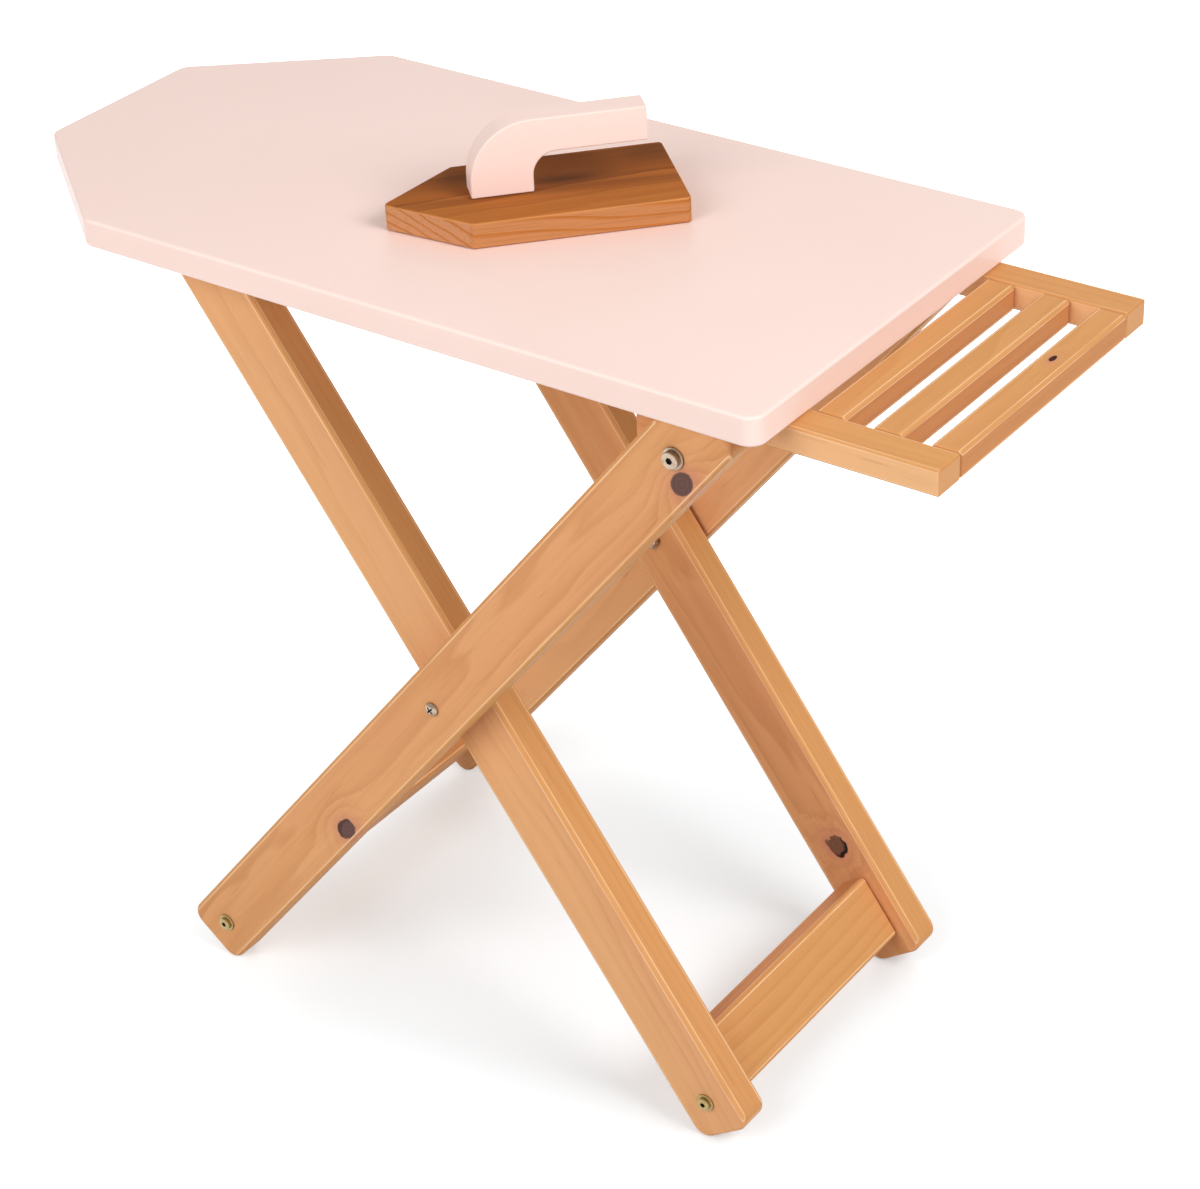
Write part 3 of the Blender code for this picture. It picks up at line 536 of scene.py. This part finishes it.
PAINT_LIGHT = (0.948, 0.730, 0.660)
PAINT_DEEP = (0.930, 0.700, 0.628)
PAINT_SPECK = (0.870, 0.610, 0.545)
# Painted highlight along the edges
PAINT_EDGE_HIGHLIGHT = (0.975, 0.830, 0.775)
PAINT_DULLNESS = 0.34
PAINT_GLOSS = 0.35
PEEL_RELIEF = 0.00010


def pink_paint(name, half_height, edge):
    """Sprayed satin paint: a fine orange peel, slight clouding, and a painted highlight along its edges."""
    g = Surface(name)
    off_z = g.size(g.axes()["Z"])
    cloud = g.even(5.0, detail=3.0)
    colour = g.mix(g.step(cloud, 0.30, 0.75), PAINT_DEEP, PAINT_LIGHT)
    speck = g.even(700.0, detail=1.0)
    colour = g.layer(colour, PAINT_SPECK, speck, low=0.62, high=0.80, share=0.10)
    # Painted highlight along the top and bottom edges
    arris_highlight = g.bell(g.less(off_z, half_height - edge * 0.45), edge * 0.35)
    colour = g.mix(g.times(arris_highlight, 0.30), colour, PAINT_EDGE_HIGHLIGHT)
    g.bump(g.even(420.0, roughness=0.4), PEEL_RELIEF, 0.25)
    dull = g.add(PAINT_DULLNESS, g.times(cloud, 0.10), g.times(arris_highlight, -0.06))
    return g.finish(colour, dull, specular=PAINT_GLOSS)


# Plating: its lighter and its darker tint, and how dull it is
Plate = namedtuple("Plate", "light dark dullness")
PLATES = {
    "nickel_plate": Plate((0.430, 0.330, 0.250), (0.310, 0.230, 0.170), 0.17),
    "yellow_zinc": Plate((0.510, 0.375, 0.165), (0.385, 0.310, 0.150), 0.20),
    "zinc_steel": Plate((0.560, 0.565, 0.580), (0.440, 0.445, 0.460), 0.24),
}
PLATE_SCRATCHES = (2600.0, 300.0, 2600.0)
PLATE_RELIEF = 0.00003
# Painted shade inside sockets and slots, partly oil and dust on the metal
RECESS_SHADE_OIL = (0.030, 0.026, 0.022)
RECESS_SHADE_DUST = (0.085, 0.072, 0.058)
RECESS_DULLNESS = 0.55
RECESS_METALLIC = 0.6


def plated(name, plate):
    """Plated steel with fine scratches and a slightly uneven tint."""
    g = Surface(name)
    scratch = g.noise(PLATE_SCRATCHES)
    g.bump(scratch, PLATE_RELIEF, 0.4)
    colour = g.mix(g.step(g.even(240.0), 0.35, 0.70), plate.light, plate.dark)
    return g.finish(colour, g.add(plate.dullness, g.times(scratch, 0.14)), metallic=1.0)


def recess_shade_metal(name):
    """The inside of sockets and slots: painted shade, and partly unpolished, oiled and dusty metal."""
    g = Surface(name)
    dust_and_shade = g.even(900.0)
    colour = g.mix(g.step(dust_and_shade, 0.40, 0.75), RECESS_SHADE_OIL, RECESS_SHADE_DUST)
    return g.finish(colour, g.add(RECESS_DULLNESS, g.times(dust_and_shade, 0.2)), metallic=RECESS_METALLIC)


METALS = {name: plated(name, plate) for name, plate in PLATES.items()}
RECESS_SHADE = recess_shade_metal("fastener_recess_shade")
BEECH = beech("beech_dowel")


# Shapes

WELD = 0.000002
SHARP_ANGLE = math.radians(50)


def rounded(corners):
    """Points of a closed outline whose corners (x, y, radius) are turned into arcs."""
    points = []
    count = len(corners)
    for index, (x, y, radius) in enumerate(corners):
        corner = Vector((x, y))
        back = (Vector(corners[index - 1][:2]) - corner).normalized()
        ahead = (Vector(corners[(index + 1) % count][:2]) - corner).normalized()
        if radius == 0.0:
            points.append(corner)
            continue
        half = back.angle(ahead) / 2
        middle = corner + (back + ahead).normalized() * radius / math.sin(half)
        first = corner + back * radius / math.tan(half) - middle
        turn = -first.angle_signed(corner + ahead * radius / math.tan(half) - middle)
        steps = max(2, math.ceil(abs(turn) / ARC_STEP))
        points += [middle + Matrix.Rotation(turn * i / steps, 2) @ first for i in range(steps + 1)]
    return points


def slab(name, corners, thickness, upright=False):
    """A rounded outline given an even thickness, lying in X and Y or upright in X and Z."""
    mesh = bpy.data.meshes.new(name)
    shape = bmesh.new()
    half = thickness / 2
    low = [shape.verts.new((p.x, p.y, -half)) for p in rounded(corners)]
    base = shape.faces.new(low)
    grown = bmesh.ops.extrude_face_region(shape, geom=[base])["geom"]
    lifted = [v for v in grown if isinstance(v, bmesh.types.BMVert)]
    bmesh.ops.translate(shape, vec=(0.0, 0.0, thickness), verts=lifted)
    if upright:
        bmesh.ops.transform(shape, matrix=Matrix.Rotation(QUARTER, 4, "X"), verts=shape.verts)
    bmesh.ops.recalc_face_normals(shape, faces=shape.faces)
    shape.to_mesh(mesh)
    shape.free()
    return mesh


def bar(name, length, width, height):
    """A squared bar along X, centred on its origin."""
    x, y = length / 2, width / 2
    return slab(name, [(-x, -y, 0.0), (x, -y, 0.0), (x, y, 0.0), (-x, y, 0.0)], height)


def turned(name, points, steps=TURN_STEPS, closed=False):
    """A profile of (radius, height) points spun about Z."""
    mesh = bpy.data.meshes.new(name)
    shape = bmesh.new()
    verts = [shape.verts.new((radius, 0.0, height)) for radius, height in points]
    ends = verts[1:] + verts[:1] if closed else verts[1:]
    edges = [shape.edges.new(pair) for pair in zip(verts, ends)]
    bmesh.ops.spin(shape, geom=verts + edges, axis=(0.0, 0.0, 1.0), cent=(0.0, 0.0, 0.0),
                   angle=4 * QUARTER, steps=steps, use_merge=True)
    bmesh.ops.remove_doubles(shape, verts=shape.verts, dist=WELD)
    bmesh.ops.recalc_face_normals(shape, faces=shape.faces)
    shape.to_mesh(mesh)
    shape.free()
    return mesh


def quarter_round(radius, top, fillet):
    """Profile of a rounded rim, from its flat top down to its side."""
    turns = [QUARTER * i / RIM_STEPS for i in range(RIM_STEPS + 1)]
    return [(radius - fillet * (1 - math.sin(turn)), top - fillet * (1 - math.cos(turn))) for turn in turns]


def dome(radius, low, high, steps=2 * RIM_STEPS):
    """Profile of a rounded top, from its middle down to its rim."""
    turns = [QUARTER * i / steps for i in range(steps + 1)]
    return [(radius * math.sin(turn), low + (high - low) * math.cos(turn)) for turn in turns]


# Placing, cutting and finishing pieces

def new_object(name, mesh, matrix):
    item = bpy.data.objects.new(name, mesh)
    bpy.context.scene.collection.objects.link(item)
    item.matrix_world = matrix
    return item


def dress(node, name, mesh, materials, matrix):
    """Shows a finished piece in the place of its solid, on the same body and with the materials given."""
    piece = new_object(name, mesh, matrix)
    for material in materials:
        mesh.materials.append(material)
    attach(piece, BODY_OF[node])
    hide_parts(node)
    return piece


def cutter(mesh, matrix, recess=False):
    """A tool that is cut out of a piece; with recess set, the cut shows the piece's second material."""
    mesh.materials.append(None)
    mesh.materials.append(None)
    mesh.polygons.foreach_set("material_index", [int(recess)] * len(mesh.polygons))
    return new_object("cutter", mesh, matrix)


def finish(piece, edge=0.0, cuts=(), joined=()):
    """Rounds the piece's edges, joins and cuts it with the tools, and shades its flat faces flat."""
    if edge:
        ease = piece.modifiers.new("edges", "BEVEL")
        ease.width = edge
        ease.segments = EDGE_SEGMENTS
        ease.limit_method = "ANGLE"
        ease.angle_limit = EDGE_ANGLE
    for operation, tools in (("UNION", joined), ("DIFFERENCE", cuts)):
        for tool in tools:
            change = piece.modifiers.new(operation.lower(), "BOOLEAN")
            change.operation = operation
            change.object = tool
    evaluated = piece.evaluated_get(bpy.context.evaluated_depsgraph_get())
    mesh = bpy.data.meshes.new_from_object(evaluated)
    piece.modifiers.clear()
    piece.data = mesh
    for tool in (*joined, *cuts):
        bpy.data.objects.remove(tool, do_unlink=True)
    mesh.shade_smooth()
    mesh.set_sharp_from_angle(angle=SHARP_ANGLE)
    shade = piece.modifiers.new("shading", "WEIGHTED_NORMAL")
    shade.keep_sharp = True


def nodes_like(*starts):
    return [node for node in BODY_OF if node.startswith(starts)]


def size_of(node):
    low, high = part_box(node)
    return high - low


def middle_of(node):
    low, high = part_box(node)
    return (low + high) / 2


def end_of(node, side, inset=0.0):
    """Point on a fastener's axis, set in from the end on the near or the far side."""
    low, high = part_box(node)
    middle = middle_of(node)
    return Vector((middle.x, low.y + inset if side < 0 else high.y - inset, middle.z))


def lean_of(node):
    """How the leg frame that carries the node leans."""
    return Matrix.Rotation(-OUTER_LEAN if BODY_OF[node] == "outer_frame" else INNER_LEAN, 4, "Y")


def barrel_matrix(node):
    """Frame of a barrel nut, with its open end at +Z: above the outer crossbar, below the inner one."""
    flip = 0.0 if BODY_OF[node] == "outer_frame" else 2 * QUARTER
    return Matrix.Translation(middle_of(node)) @ lean_of(node) @ Matrix.Rotation(flip, 4, "X")


# Drills

SHANKS = {"pivot_bolt": PIVOT_BOLT.shank, "cross_screw": CROSS_SHANK,
          "outer_bolt": FOOT_BOLT.shank, "inner_bolt": FOOT_BOLT.shank}


def drill(points, matrix):
    return cutter(turned("drill", points, HOLE_STEPS), matrix)


def straight(radius, top, bottom):
    """Profile of a plain round hole or rod."""
    return [(0.0, top), (radius, top), (radius, bottom), (0.0, bottom)]


def barrel_drill(node):
    """Room for a barrel nut, open on the side that it goes in from."""
    points = straight(BARREL_RADIUS + CLEARANCE, LEG_THICK / 2 + OVERRUN, -BARREL_LENGTH / 2 - SEAT)
    return drill(points, barrel_matrix(node))


def screw_drill(node):
    """Room for a wood screw from below, with its countersink."""
    tip = size_of(node).z
    points = straight(WOOD_SHANK + CLEARANCE, tip + SEAT, WOOD_HEAD - WOOD_SHANK)
    points[3:] = [(WOOD_HEAD + CLEARANCE + OVERRUN, -OVERRUN), (0.0, -OVERRUN)]
    return drill(points, Matrix.Translation(middle_of(node) - Vector((0.0, 0.0, tip / 2))))


def cross_drill(node):
    """Room for a bolt's shank, or for a pin or rod, along Y."""
    size = size_of(node)
    radius = SHANKS.get(node.rsplit("_", 1)[0], size.z / 2) + CLEARANCE
    reach = size.y / 2 + SEAT
    matrix = Matrix.Translation(middle_of(node)) @ Matrix.Rotation(QUARTER, 4, "X")
    return drill(straight(radius, reach, -reach), matrix)


def drill_for(node):
    if "barrel" in node:
        return barrel_drill(node)
    if SLOT_OF[node] == "zinc_steel":
        return screw_drill(node)
    return cross_drill(node)


def drills_for(*starts):
    return [drill_for(node) for node in nodes_like(*starts)]


# Board and slatted rest

def dress_board():
    low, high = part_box("board_top")
    half_width = (high.y - low.y) / 2
    half_tip = BOARD_TIP / 2
    shoulder = low.x + BOARD_NOSE
    outline = [(low.x, half_tip), (low.x, -half_tip), (shoulder, -half_width),
               (high.x, -half_width), (high.x, half_width), (shoulder, half_width)]
    thickness = high.z - low.z
    mesh = slab("painted_board", [(*corner, BOARD_CORNER) for corner in outline], thickness)
    paint = pink_paint("board_paint", thickness / 2, BOARD_EDGE)
    middle = Matrix.Translation((0.0, 0.0, (low.z + high.z) / 2))
    board = dress("board_top", "painted_board", mesh, [paint], middle)
    finish(board, BOARD_EDGE, drills_for("rail_screw", "block_screw"))


def dress_box(node, edge, drills, turn=0.0, lean=Matrix.Identity(4), size=None):
    """A squared pine piece with its grain along its length, turned from X and leaned with its frame."""
    length, width, height = size or size_of(node)
    wood = pine(node, (length / 2, width / 2, height / 2), edge)
    matrix = Matrix.Translation(middle_of(node)) @ lean @ Matrix.Rotation(turn, 4, "Z")
    piece = dress(node, node + "_wood", bar(node + "_wood", length, width, height), [wood], matrix)
    finish(piece, edge, drills)


def dress_rest():
    for label in SIDES:
        dress_box("rail_" + label, RAIL_EDGE,
                  drills_for("rest_dowel_" + label, "rail_screw_" + label, "block_screw_" + label))
        dress_box("pivot_block_" + label, RAIL_EDGE,
                  drills_for("pivot_bolt_" + label, "block_screw_" + label))
    for node in nodes_like("rest_slat"):
        size = size_of(node)
        drills = [drill_for(node.replace("slat", "dowel_" + label)) for label in SIDES]
        dress_box(node, SLAT_EDGE, drills, turn=QUARTER, size=(size.y, size.x, size.z))


# Crossed frames

def leg_outline(lean, above, below):
    """Corners of a leg along X with its top at +X: level with the board, and round on the fold side."""
    long_reach = above + HALF_LEG / math.tan(lean / 2)
    short_reach = above + HALF_LEG * math.tan(lean / 2)
    return [(-below, -HALF_LEG, LEG_CORNER), (long_reach, -HALF_LEG, LEG_CORNER),
            (short_reach, HALF_LEG, HALF_LEG), (-below, HALF_LEG, LEG_CORNER)]


def lower_length(lean):
    """Length from the crossing to the foot's end, with the foot's rounded corner on the floor."""
    rise = (HALF_LEG - LEG_CORNER) * math.cos(lean)
    return LEG_CORNER + (CROSSING.z - LEG_CORNER - rise) / math.sin(lean)


def dress_leg(node, corners, leg_frame, drills):
    reach = max(abs(x) for x, z, radius in corners)
    wood = pine(node, (reach, LEG_THICK / 2, HALF_LEG), LEG_EDGE)
    matrix = leg_frame @ Matrix.Translation((0.0, middle_of(node).y, 0.0))
    mesh = slab(node + "_wood", corners, LEG_THICK, upright=True)
    finish(dress(node, node + "_wood", mesh, [wood], matrix), LEG_EDGE, drills)


def dress_outer_legs():
    corners = leg_outline(OUTER_LEAN, 0.0, OUTER_UPPER + lower_length(OUTER_LEAN))
    for label in SIDES:
        drills = drills_for("pivot_bolt_" + label, "cross_screw_" + label,
                            "outer_bolt_" + label, "outer_dowel_" + label)
        dress_leg("outer_leg_" + label, corners, OUTER_FRAME, drills)


def dress_inner_legs():
    upper = (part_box("board_top")[0].z - CROSSING.z - HALF_LEG - INNER_TOP_GAP) / math.sin(INNER_LEAN)
    corners = leg_outline(INNER_LEAN, upper, lower_length(INNER_LEAN))
    corners = [(-x, z, radius) for x, z, radius in reversed(corners)]
    for label in SIDES:
        drills = drills_for("inner_top_rod", "cross_screw_" + label,
                            "inner_bolt_" + label, "inner_dowel_" + label)
        dress_leg("inner_leg_" + label, corners, INNER_FRAME, drills)


def dress_crossbars():
    for label in ("outer", "inner"):
        node = label + "_crossbar"
        drills = drills_for(label + "_bolt", label + "_dowel", label + "_barrel")
        dress_box(node, LEG_EDGE, drills, turn=QUARTER, lean=lean_of(node),
                  size=(size_of(node).y, LEG_WIDTH, LEG_THICK))


def dress_top_rod():
    """A round rod, turned about its own X axis."""
    node = "inner_top_rod"
    size = size_of(node)
    half, radius = size.y / 2, size.z / 2
    chamfer = 2 * RIM_ROUND
    end = quarter_round(radius, half, chamfer)
    points = [(0.0, half)] + end + [(r, -z) for r, z in reversed(end)] + [(0.0, -half)]
    mesh = turned(node + "_wood", points)
    mesh.transform(Matrix.Rotation(QUARTER, 4, "Y"))
    wood = pine(node, (half, radius, radius), chamfer)
    matrix = Matrix.Translation(middle_of(node)) @ Matrix.Rotation(QUARTER, 4, "Z")
    finish(dress(node, node + "_wood", mesh, [wood], matrix))


# Toy iron

def dress_iron():
    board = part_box("board_top")[1]
    matrix = Matrix.Translation((board.x - IRON_FROM_END, IRON_OFFSET, board.z + SEAT))
    matrix = matrix @ Matrix.Rotation(IRON_YAW, 4, "Z")
    dress_iron_base(matrix @ Matrix.Translation((0.0, 0.0, IRON_THICK / 2)))
    dress_iron_handle(matrix @ Matrix.Translation((0.0, 0.0, IRON_THICK + SEAT)))


def dress_iron_base(matrix):
    tip, half = -IRON_LENGTH / 2, IRON_WIDTH / 2
    shoulder = tip + IRON_SHOULDER
    outline = [(tip, 0.0), (shoulder, -half), (-tip, -half), (-tip, half), (shoulder, half)]
    mesh = slab("iron_sole", [(*corner, IRON_CORNER) for corner in outline], IRON_THICK)
    stain = stained_pine("stained_pine", IRON_THICK / 2)
    finish(dress("iron_base", "iron_sole", mesh, [stain], matrix), IRON_EDGE, drills_for("iron_screw"))


def dress_iron_handle(matrix):
    """An open hook: a post at the front, and a bar that runs back from it."""
    front = HANDLE_FROM_TIP - IRON_LENGTH / 2
    behind, end = front + HANDLE_POST, front + HANDLE_LENGTH
    under = HANDLE_HEIGHT - HANDLE_BAR
    corners = [(front, 0.0, 0.0), (behind, 0.0, 0.0), (behind, under, HANDLE_FILLET), (end, under, 0.0),
               (end, HANDLE_HEIGHT, 0.0), (front, HANDLE_HEIGHT, HANDLE_BEND)]
    mesh = slab("iron_hook", corners, HANDLE_THICK, upright=True)
    paint = pink_paint("handle_paint", HANDLE_HEIGHT + HANDLE_EDGE, HANDLE_EDGE)
    finish(dress("iron_handle", "iron_hook", mesh, [paint], matrix), HANDLE_EDGE, drills_for("iron_screw"))


# Fasteners

def dress_metal(node, points, matrix, cuts=(), joined=(), steps=TURN_STEPS, closed=False):
    """A turned piece of plated steel, with painted shade in its recesses."""
    mesh = turned(node + "_plated", points, steps, closed)
    metal = METALS[SLOT_OF[node]]
    finish(dress(node, node + "_plated", mesh, [metal, RECESS_SHADE], matrix), 0.0, cuts, joined)


def outward(side):
    """Turns Z to point out of the near or the far side."""
    return Matrix.Rotation(-side * QUARTER, 4, "X")


def slot_cutter(matrix, length, width, depth):
    """A tool for a slot as deep as given in the face at Z = 0, whichever way that face looks."""
    return cutter(bar("slot", length, width, 2 * depth), matrix, recess=True)


def cross_recess(matrix):
    crosswise = matrix @ Matrix.Rotation(QUARTER, 4, "Z")
    return [slot_cutter(turn, RECESS_LENGTH, RECESS_WIDTH, RECESS_DEPTH) for turn in (matrix, crosswise)]


def dress_bolt(node, bolt, side):
    """A flanged bolt with a rounded rim and a hexagon socket."""
    top = bolt.flange_height + bolt.head_height
    end = top - size_of(node).y
    points = [(0.0, top), *quarter_round(bolt.head, top, RIM_ROUND), (bolt.head, bolt.flange_height),
              *quarter_round(bolt.flange, bolt.flange_height, RIM_ROUND), (bolt.flange, 0.0),
              (bolt.shank, 0.0), (bolt.shank, end), (0.0, end)]
    matrix = Matrix.Translation(end_of(node, side, top)) @ outward(side)
    hexagon = straight(bolt.socket, top + OVERRUN, top - SOCKET_DEPTH)
    socket = cutter(turned("socket", hexagon, HEXAGON), matrix, recess=True)
    dress_metal(node, points, matrix, [socket])


def dress_cross_screw(node, side):
    """A pan head screw with a cross recess."""
    end = CROSS_RISE - size_of(node).y
    points = dome(CROSS_HEAD, CROSS_RIM, CROSS_RISE)
    points += [(CROSS_HEAD, 0.0), (CROSS_SHANK, 0.0), (CROSS_SHANK, end), (0.0, end)]
    matrix = Matrix.Translation(end_of(node, side, CROSS_RISE)) @ outward(side)
    face = matrix @ Matrix.Translation((0.0, 0.0, CROSS_RISE)) @ Matrix.Rotation(QUARTER / 2, 4, "Z")
    dress_metal(node, points, matrix, cross_recess(face))


def dress_nut(node, shank, side):
    """A cap nut: a hexagon with a dome on it, open towards its bolt."""
    matrix = Matrix.Translation(end_of(node, side)) @ outward(-side)
    inscribed = NUT_RADIUS * math.cos(QUARTER / 3) - RIM_ROUND / 2
    inside = NUT_BASE / 2
    cap = [*dome(inscribed, NUT_BASE, NUT_HEIGHT), (inscribed, inside), (0.0, inside)]
    bore = drill(straight(shank + CLEARANCE, NUT_BORE_DEPTH, -OVERRUN), matrix)
    dress_metal(node, straight(NUT_RADIUS, NUT_BASE, 0.0), matrix, [bore],
                [cutter(turned("cap", cap), matrix)], steps=HEXAGON)


def dress_washer(node, shank):
    size = size_of(node)
    half = size.y / 2
    outer, hole = size.z / 2, shank + CLEARANCE
    ring = [(outer, half), (outer, -half), (hole, -half), (hole, half)]
    matrix = Matrix.Translation(middle_of(node)) @ Matrix.Rotation(QUARTER, 4, "X")
    dress_metal(node, ring, matrix, closed=True)


def dress_barrel(node, bolt_node):
    """A cross dowel nut with a screwdriver slot in its open end."""
    half = BARREL_LENGTH / 2
    rim = quarter_round(BARREL_RADIUS, half, RIM_ROUND)
    points = [(0.0, half), *rim, (BARREL_RADIUS, -half), (0.0, -half)]
    matrix = barrel_matrix(node)
    face = matrix @ Matrix.Translation((0.0, 0.0, half))
    slot = slot_cutter(face, 3 * BARREL_RADIUS, RECESS_WIDTH, BARREL_SLOT_DEPTH)
    dress_metal(node, points, matrix, [slot, drill_for(bolt_node)])


def dress_wood_screw(node):
    """A countersunk screw with a cross recess, its flat head facing down."""
    tip = size_of(node).z
    sink = WOOD_HEAD - WOOD_SHANK
    points = [(0.0, tip), (WOOD_SHANK, tip - WOOD_TAPER), (WOOD_SHANK, sink), (WOOD_HEAD, 0.0), (0.0, 0.0)]
    middle = middle_of(node)
    matrix = Matrix.Translation((middle.x, middle.y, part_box(node)[0].z))
    dress_metal(node, points, matrix, cross_recess(matrix))


def dress_fasteners():
    for label, side in SIDES.items():
        dress_bolt("pivot_bolt_" + label, PIVOT_BOLT, side)
        dress_nut("pivot_nut_" + label, PIVOT_BOLT.shank, side)
        dress_washer("pivot_washer_" + label, PIVOT_BOLT.shank)
        dress_cross_screw("cross_screw_" + label, side)
        dress_nut("cross_nut_" + label, CROSS_SHANK, side)
        dress_washer("cross_washer_" + label, CROSS_SHANK)
        for pair in ("outer", "inner"):
            dress_bolt(f"{pair}_bolt_{label}", FOOT_BOLT, side)
            dress_barrel(f"{pair}_barrel_nut_{label}", f"{pair}_bolt_{label}")
    for node in nodes_like("rail_screw", "block_screw", "iron_screw"):
        dress_wood_screw(node)


def paint_dowels():
    """The blind pins keep their solids."""
    for node in nodes_like("rest_dowel", "outer_dowel", "inner_dowel"):
        solid = frame["nodes"][node]
        solid.data.materials.clear()
        solid.data.materials.append(BEECH)


# Studio

FLOOR_SIZE = 12.0
FLOOR_DROP = 0.0004
FLOOR_GREY = (0.660, 0.660, 0.660)
FLOOR_SEEN = (0.668, 0.710, 0.732)
FLOOR_GLOW = 0.31
GLOW_MIDDLE = (0.02, 0.00)
GLOW_NEAR = 0.12
GLOW_FAR = 0.60
WORLD_LIGHT = (0.355, 0.355, 0.355)
WORLD_SEEN = (1.0, 1.0, 1.0)

# Each lamp's place, the width of its disk and its power; all of them face the same point
Lamp = namedtuple("Lamp", "place size power")
LAMPS = {
    "key_light": Lamp((2.39, -0.12, 2.33), 1.6, 57.5),
    "front_light": Lamp((-0.24, -2.06, 1.60), 1.8, 31.0),
    "back_light": Lamp((-1.55, 1.90, 0.62), 1.1, 24.0),
}
LAMP_TARGET = Vector((0.0, 0.0, 0.40))


def seen_directly(g):
    """1 for what is seen, also in a reflection or through glass, and 0 for the light that falls on things."""
    path = g.new("LightPath").outputs
    mirrored = g.math("MAXIMUM", path["Is Camera Ray"], path["Is Glossy Ray"])
    return g.math("MAXIMUM", mirrored, path["Is Transmission Ray"])


def floor_glow(g):
    """Strength at which the floor looks white: full in the distance, less where the shadow lies."""
    x, y, _ = g.axes()
    reach = g.length(g.less(x, GLOW_MIDDLE[0]), g.less(y, GLOW_MIDDLE[1]))
    rise = g.times(g.step(reach, GLOW_NEAR, GLOW_FAR), 1.0 - FLOOR_GLOW)
    return g.times(g.add(rise, FLOOR_GLOW), seen_directly(g))


def floor_paint():
    """Matte grey that also glows where it is seen, and is clear from below."""
    paint = bpy.data.materials.new("studio_floor")
    g = Graph(paint)
    g.tree.nodes.clear()
    matte, glow, both = g.new("BsdfDiffuse"), g.new("Emission"), g.new("AddShader")
    clear, either, out = g.new("BsdfTransparent"), g.new("MixShader"), g.new("OutputMaterial")
    g.feed(matte.inputs["Color"], g.mix(seen_directly(g), FLOOR_GREY, FLOOR_SEEN))
    g.feed(glow.inputs["Strength"], floor_glow(g))
    g.feed(both.inputs[0], matte.outputs[0])
    g.feed(both.inputs[1], glow.outputs[0])
    g.feed(either.inputs[0], g.new("NewGeometry").outputs["Backfacing"])
    g.feed(either.inputs[1], both.outputs[0])
    g.feed(either.inputs[2], clear.outputs[0])
    g.feed(out.inputs["Surface"], either.outputs[0])
    return paint


def make_floor():
    """A pale floor that shows white, apart from the object's soft shadow."""
    mesh = bpy.data.meshes.new("studio_floor")
    shape = bmesh.new()
    bmesh.ops.create_grid(shape, x_segments=1, y_segments=1, size=FLOOR_SIZE / 2)
    shape.to_mesh(mesh)
    shape.free()
    mesh.materials.append(floor_paint())
    floor = new_object("studio_floor", mesh, Matrix.Translation((0.0, 0.0, -FLOOR_DROP)))


def make_world():
    """White behind the object, and a plain even light on it."""
    world = bpy.data.worlds.new("studio")
    bpy.context.scene.world = world
    g = Graph(world)
    background = g.tree.nodes["Background"]
    g.feed(background.inputs["Color"], g.mix(seen_directly(g), WORLD_LIGHT, WORLD_SEEN))


def make_lamps():
    """Large soft lamps, kept out of sight, and out of reflections, where they would glare on the board."""
    for name, lamp in LAMPS.items():
        light = bpy.data.lights.new(name, "AREA")
        light.shape = "DISK"
        light.size = lamp.size
        light.energy = lamp.power
        aim = LAMP_TARGET - Vector(lamp.place)
        turn = aim.to_track_quat("-Z", "Y").to_matrix().to_4x4()
        item = new_object(name, light, Matrix.Translation(lamp.place) @ turn)
        item.visible_camera = False
        item.visible_glossy = False


def make_camera():
    right = Vector((math.cos(CAMERA_AZIMUTH), math.sin(CAMERA_AZIMUTH), 0.0))
    back = Vector((math.sin(CAMERA_AZIMUTH) * math.cos(CAMERA_ELEVATION),
                   -math.cos(CAMERA_AZIMUTH) * math.cos(CAMERA_ELEVATION), math.sin(CAMERA_ELEVATION)))
    up = back.cross(right)
    cos, sin = math.cos(CAMERA_ROLL), math.sin(CAMERA_ROLL)
    turn = Matrix((cos * right + sin * up, cos * up - sin * right, back)).transposed().to_4x4()
    lens = bpy.data.cameras.new("photo_camera")
    lens.sensor_fit = "HORIZONTAL"
    lens.sensor_width = SENSOR
    lens.lens = FOCAL_PIXELS * SENSOR / IMAGE_WIDTH
    lens.clip_end = FLOOR_SIZE
    camera = new_object("photo_camera", lens, Matrix.Translation(CAMERA_PLACE) @ turn)
    bpy.context.scene.camera = camera


dress_board()
dress_rest()
dress_outer_legs()
dress_inner_legs()
dress_crossbars()
dress_top_rod()
dress_iron()
dress_fasteners()
paint_dowels()
make_floor()
make_world()
make_lamps()
make_camera()
bpy.context.scene.view_settings.view_transform = "Standard"
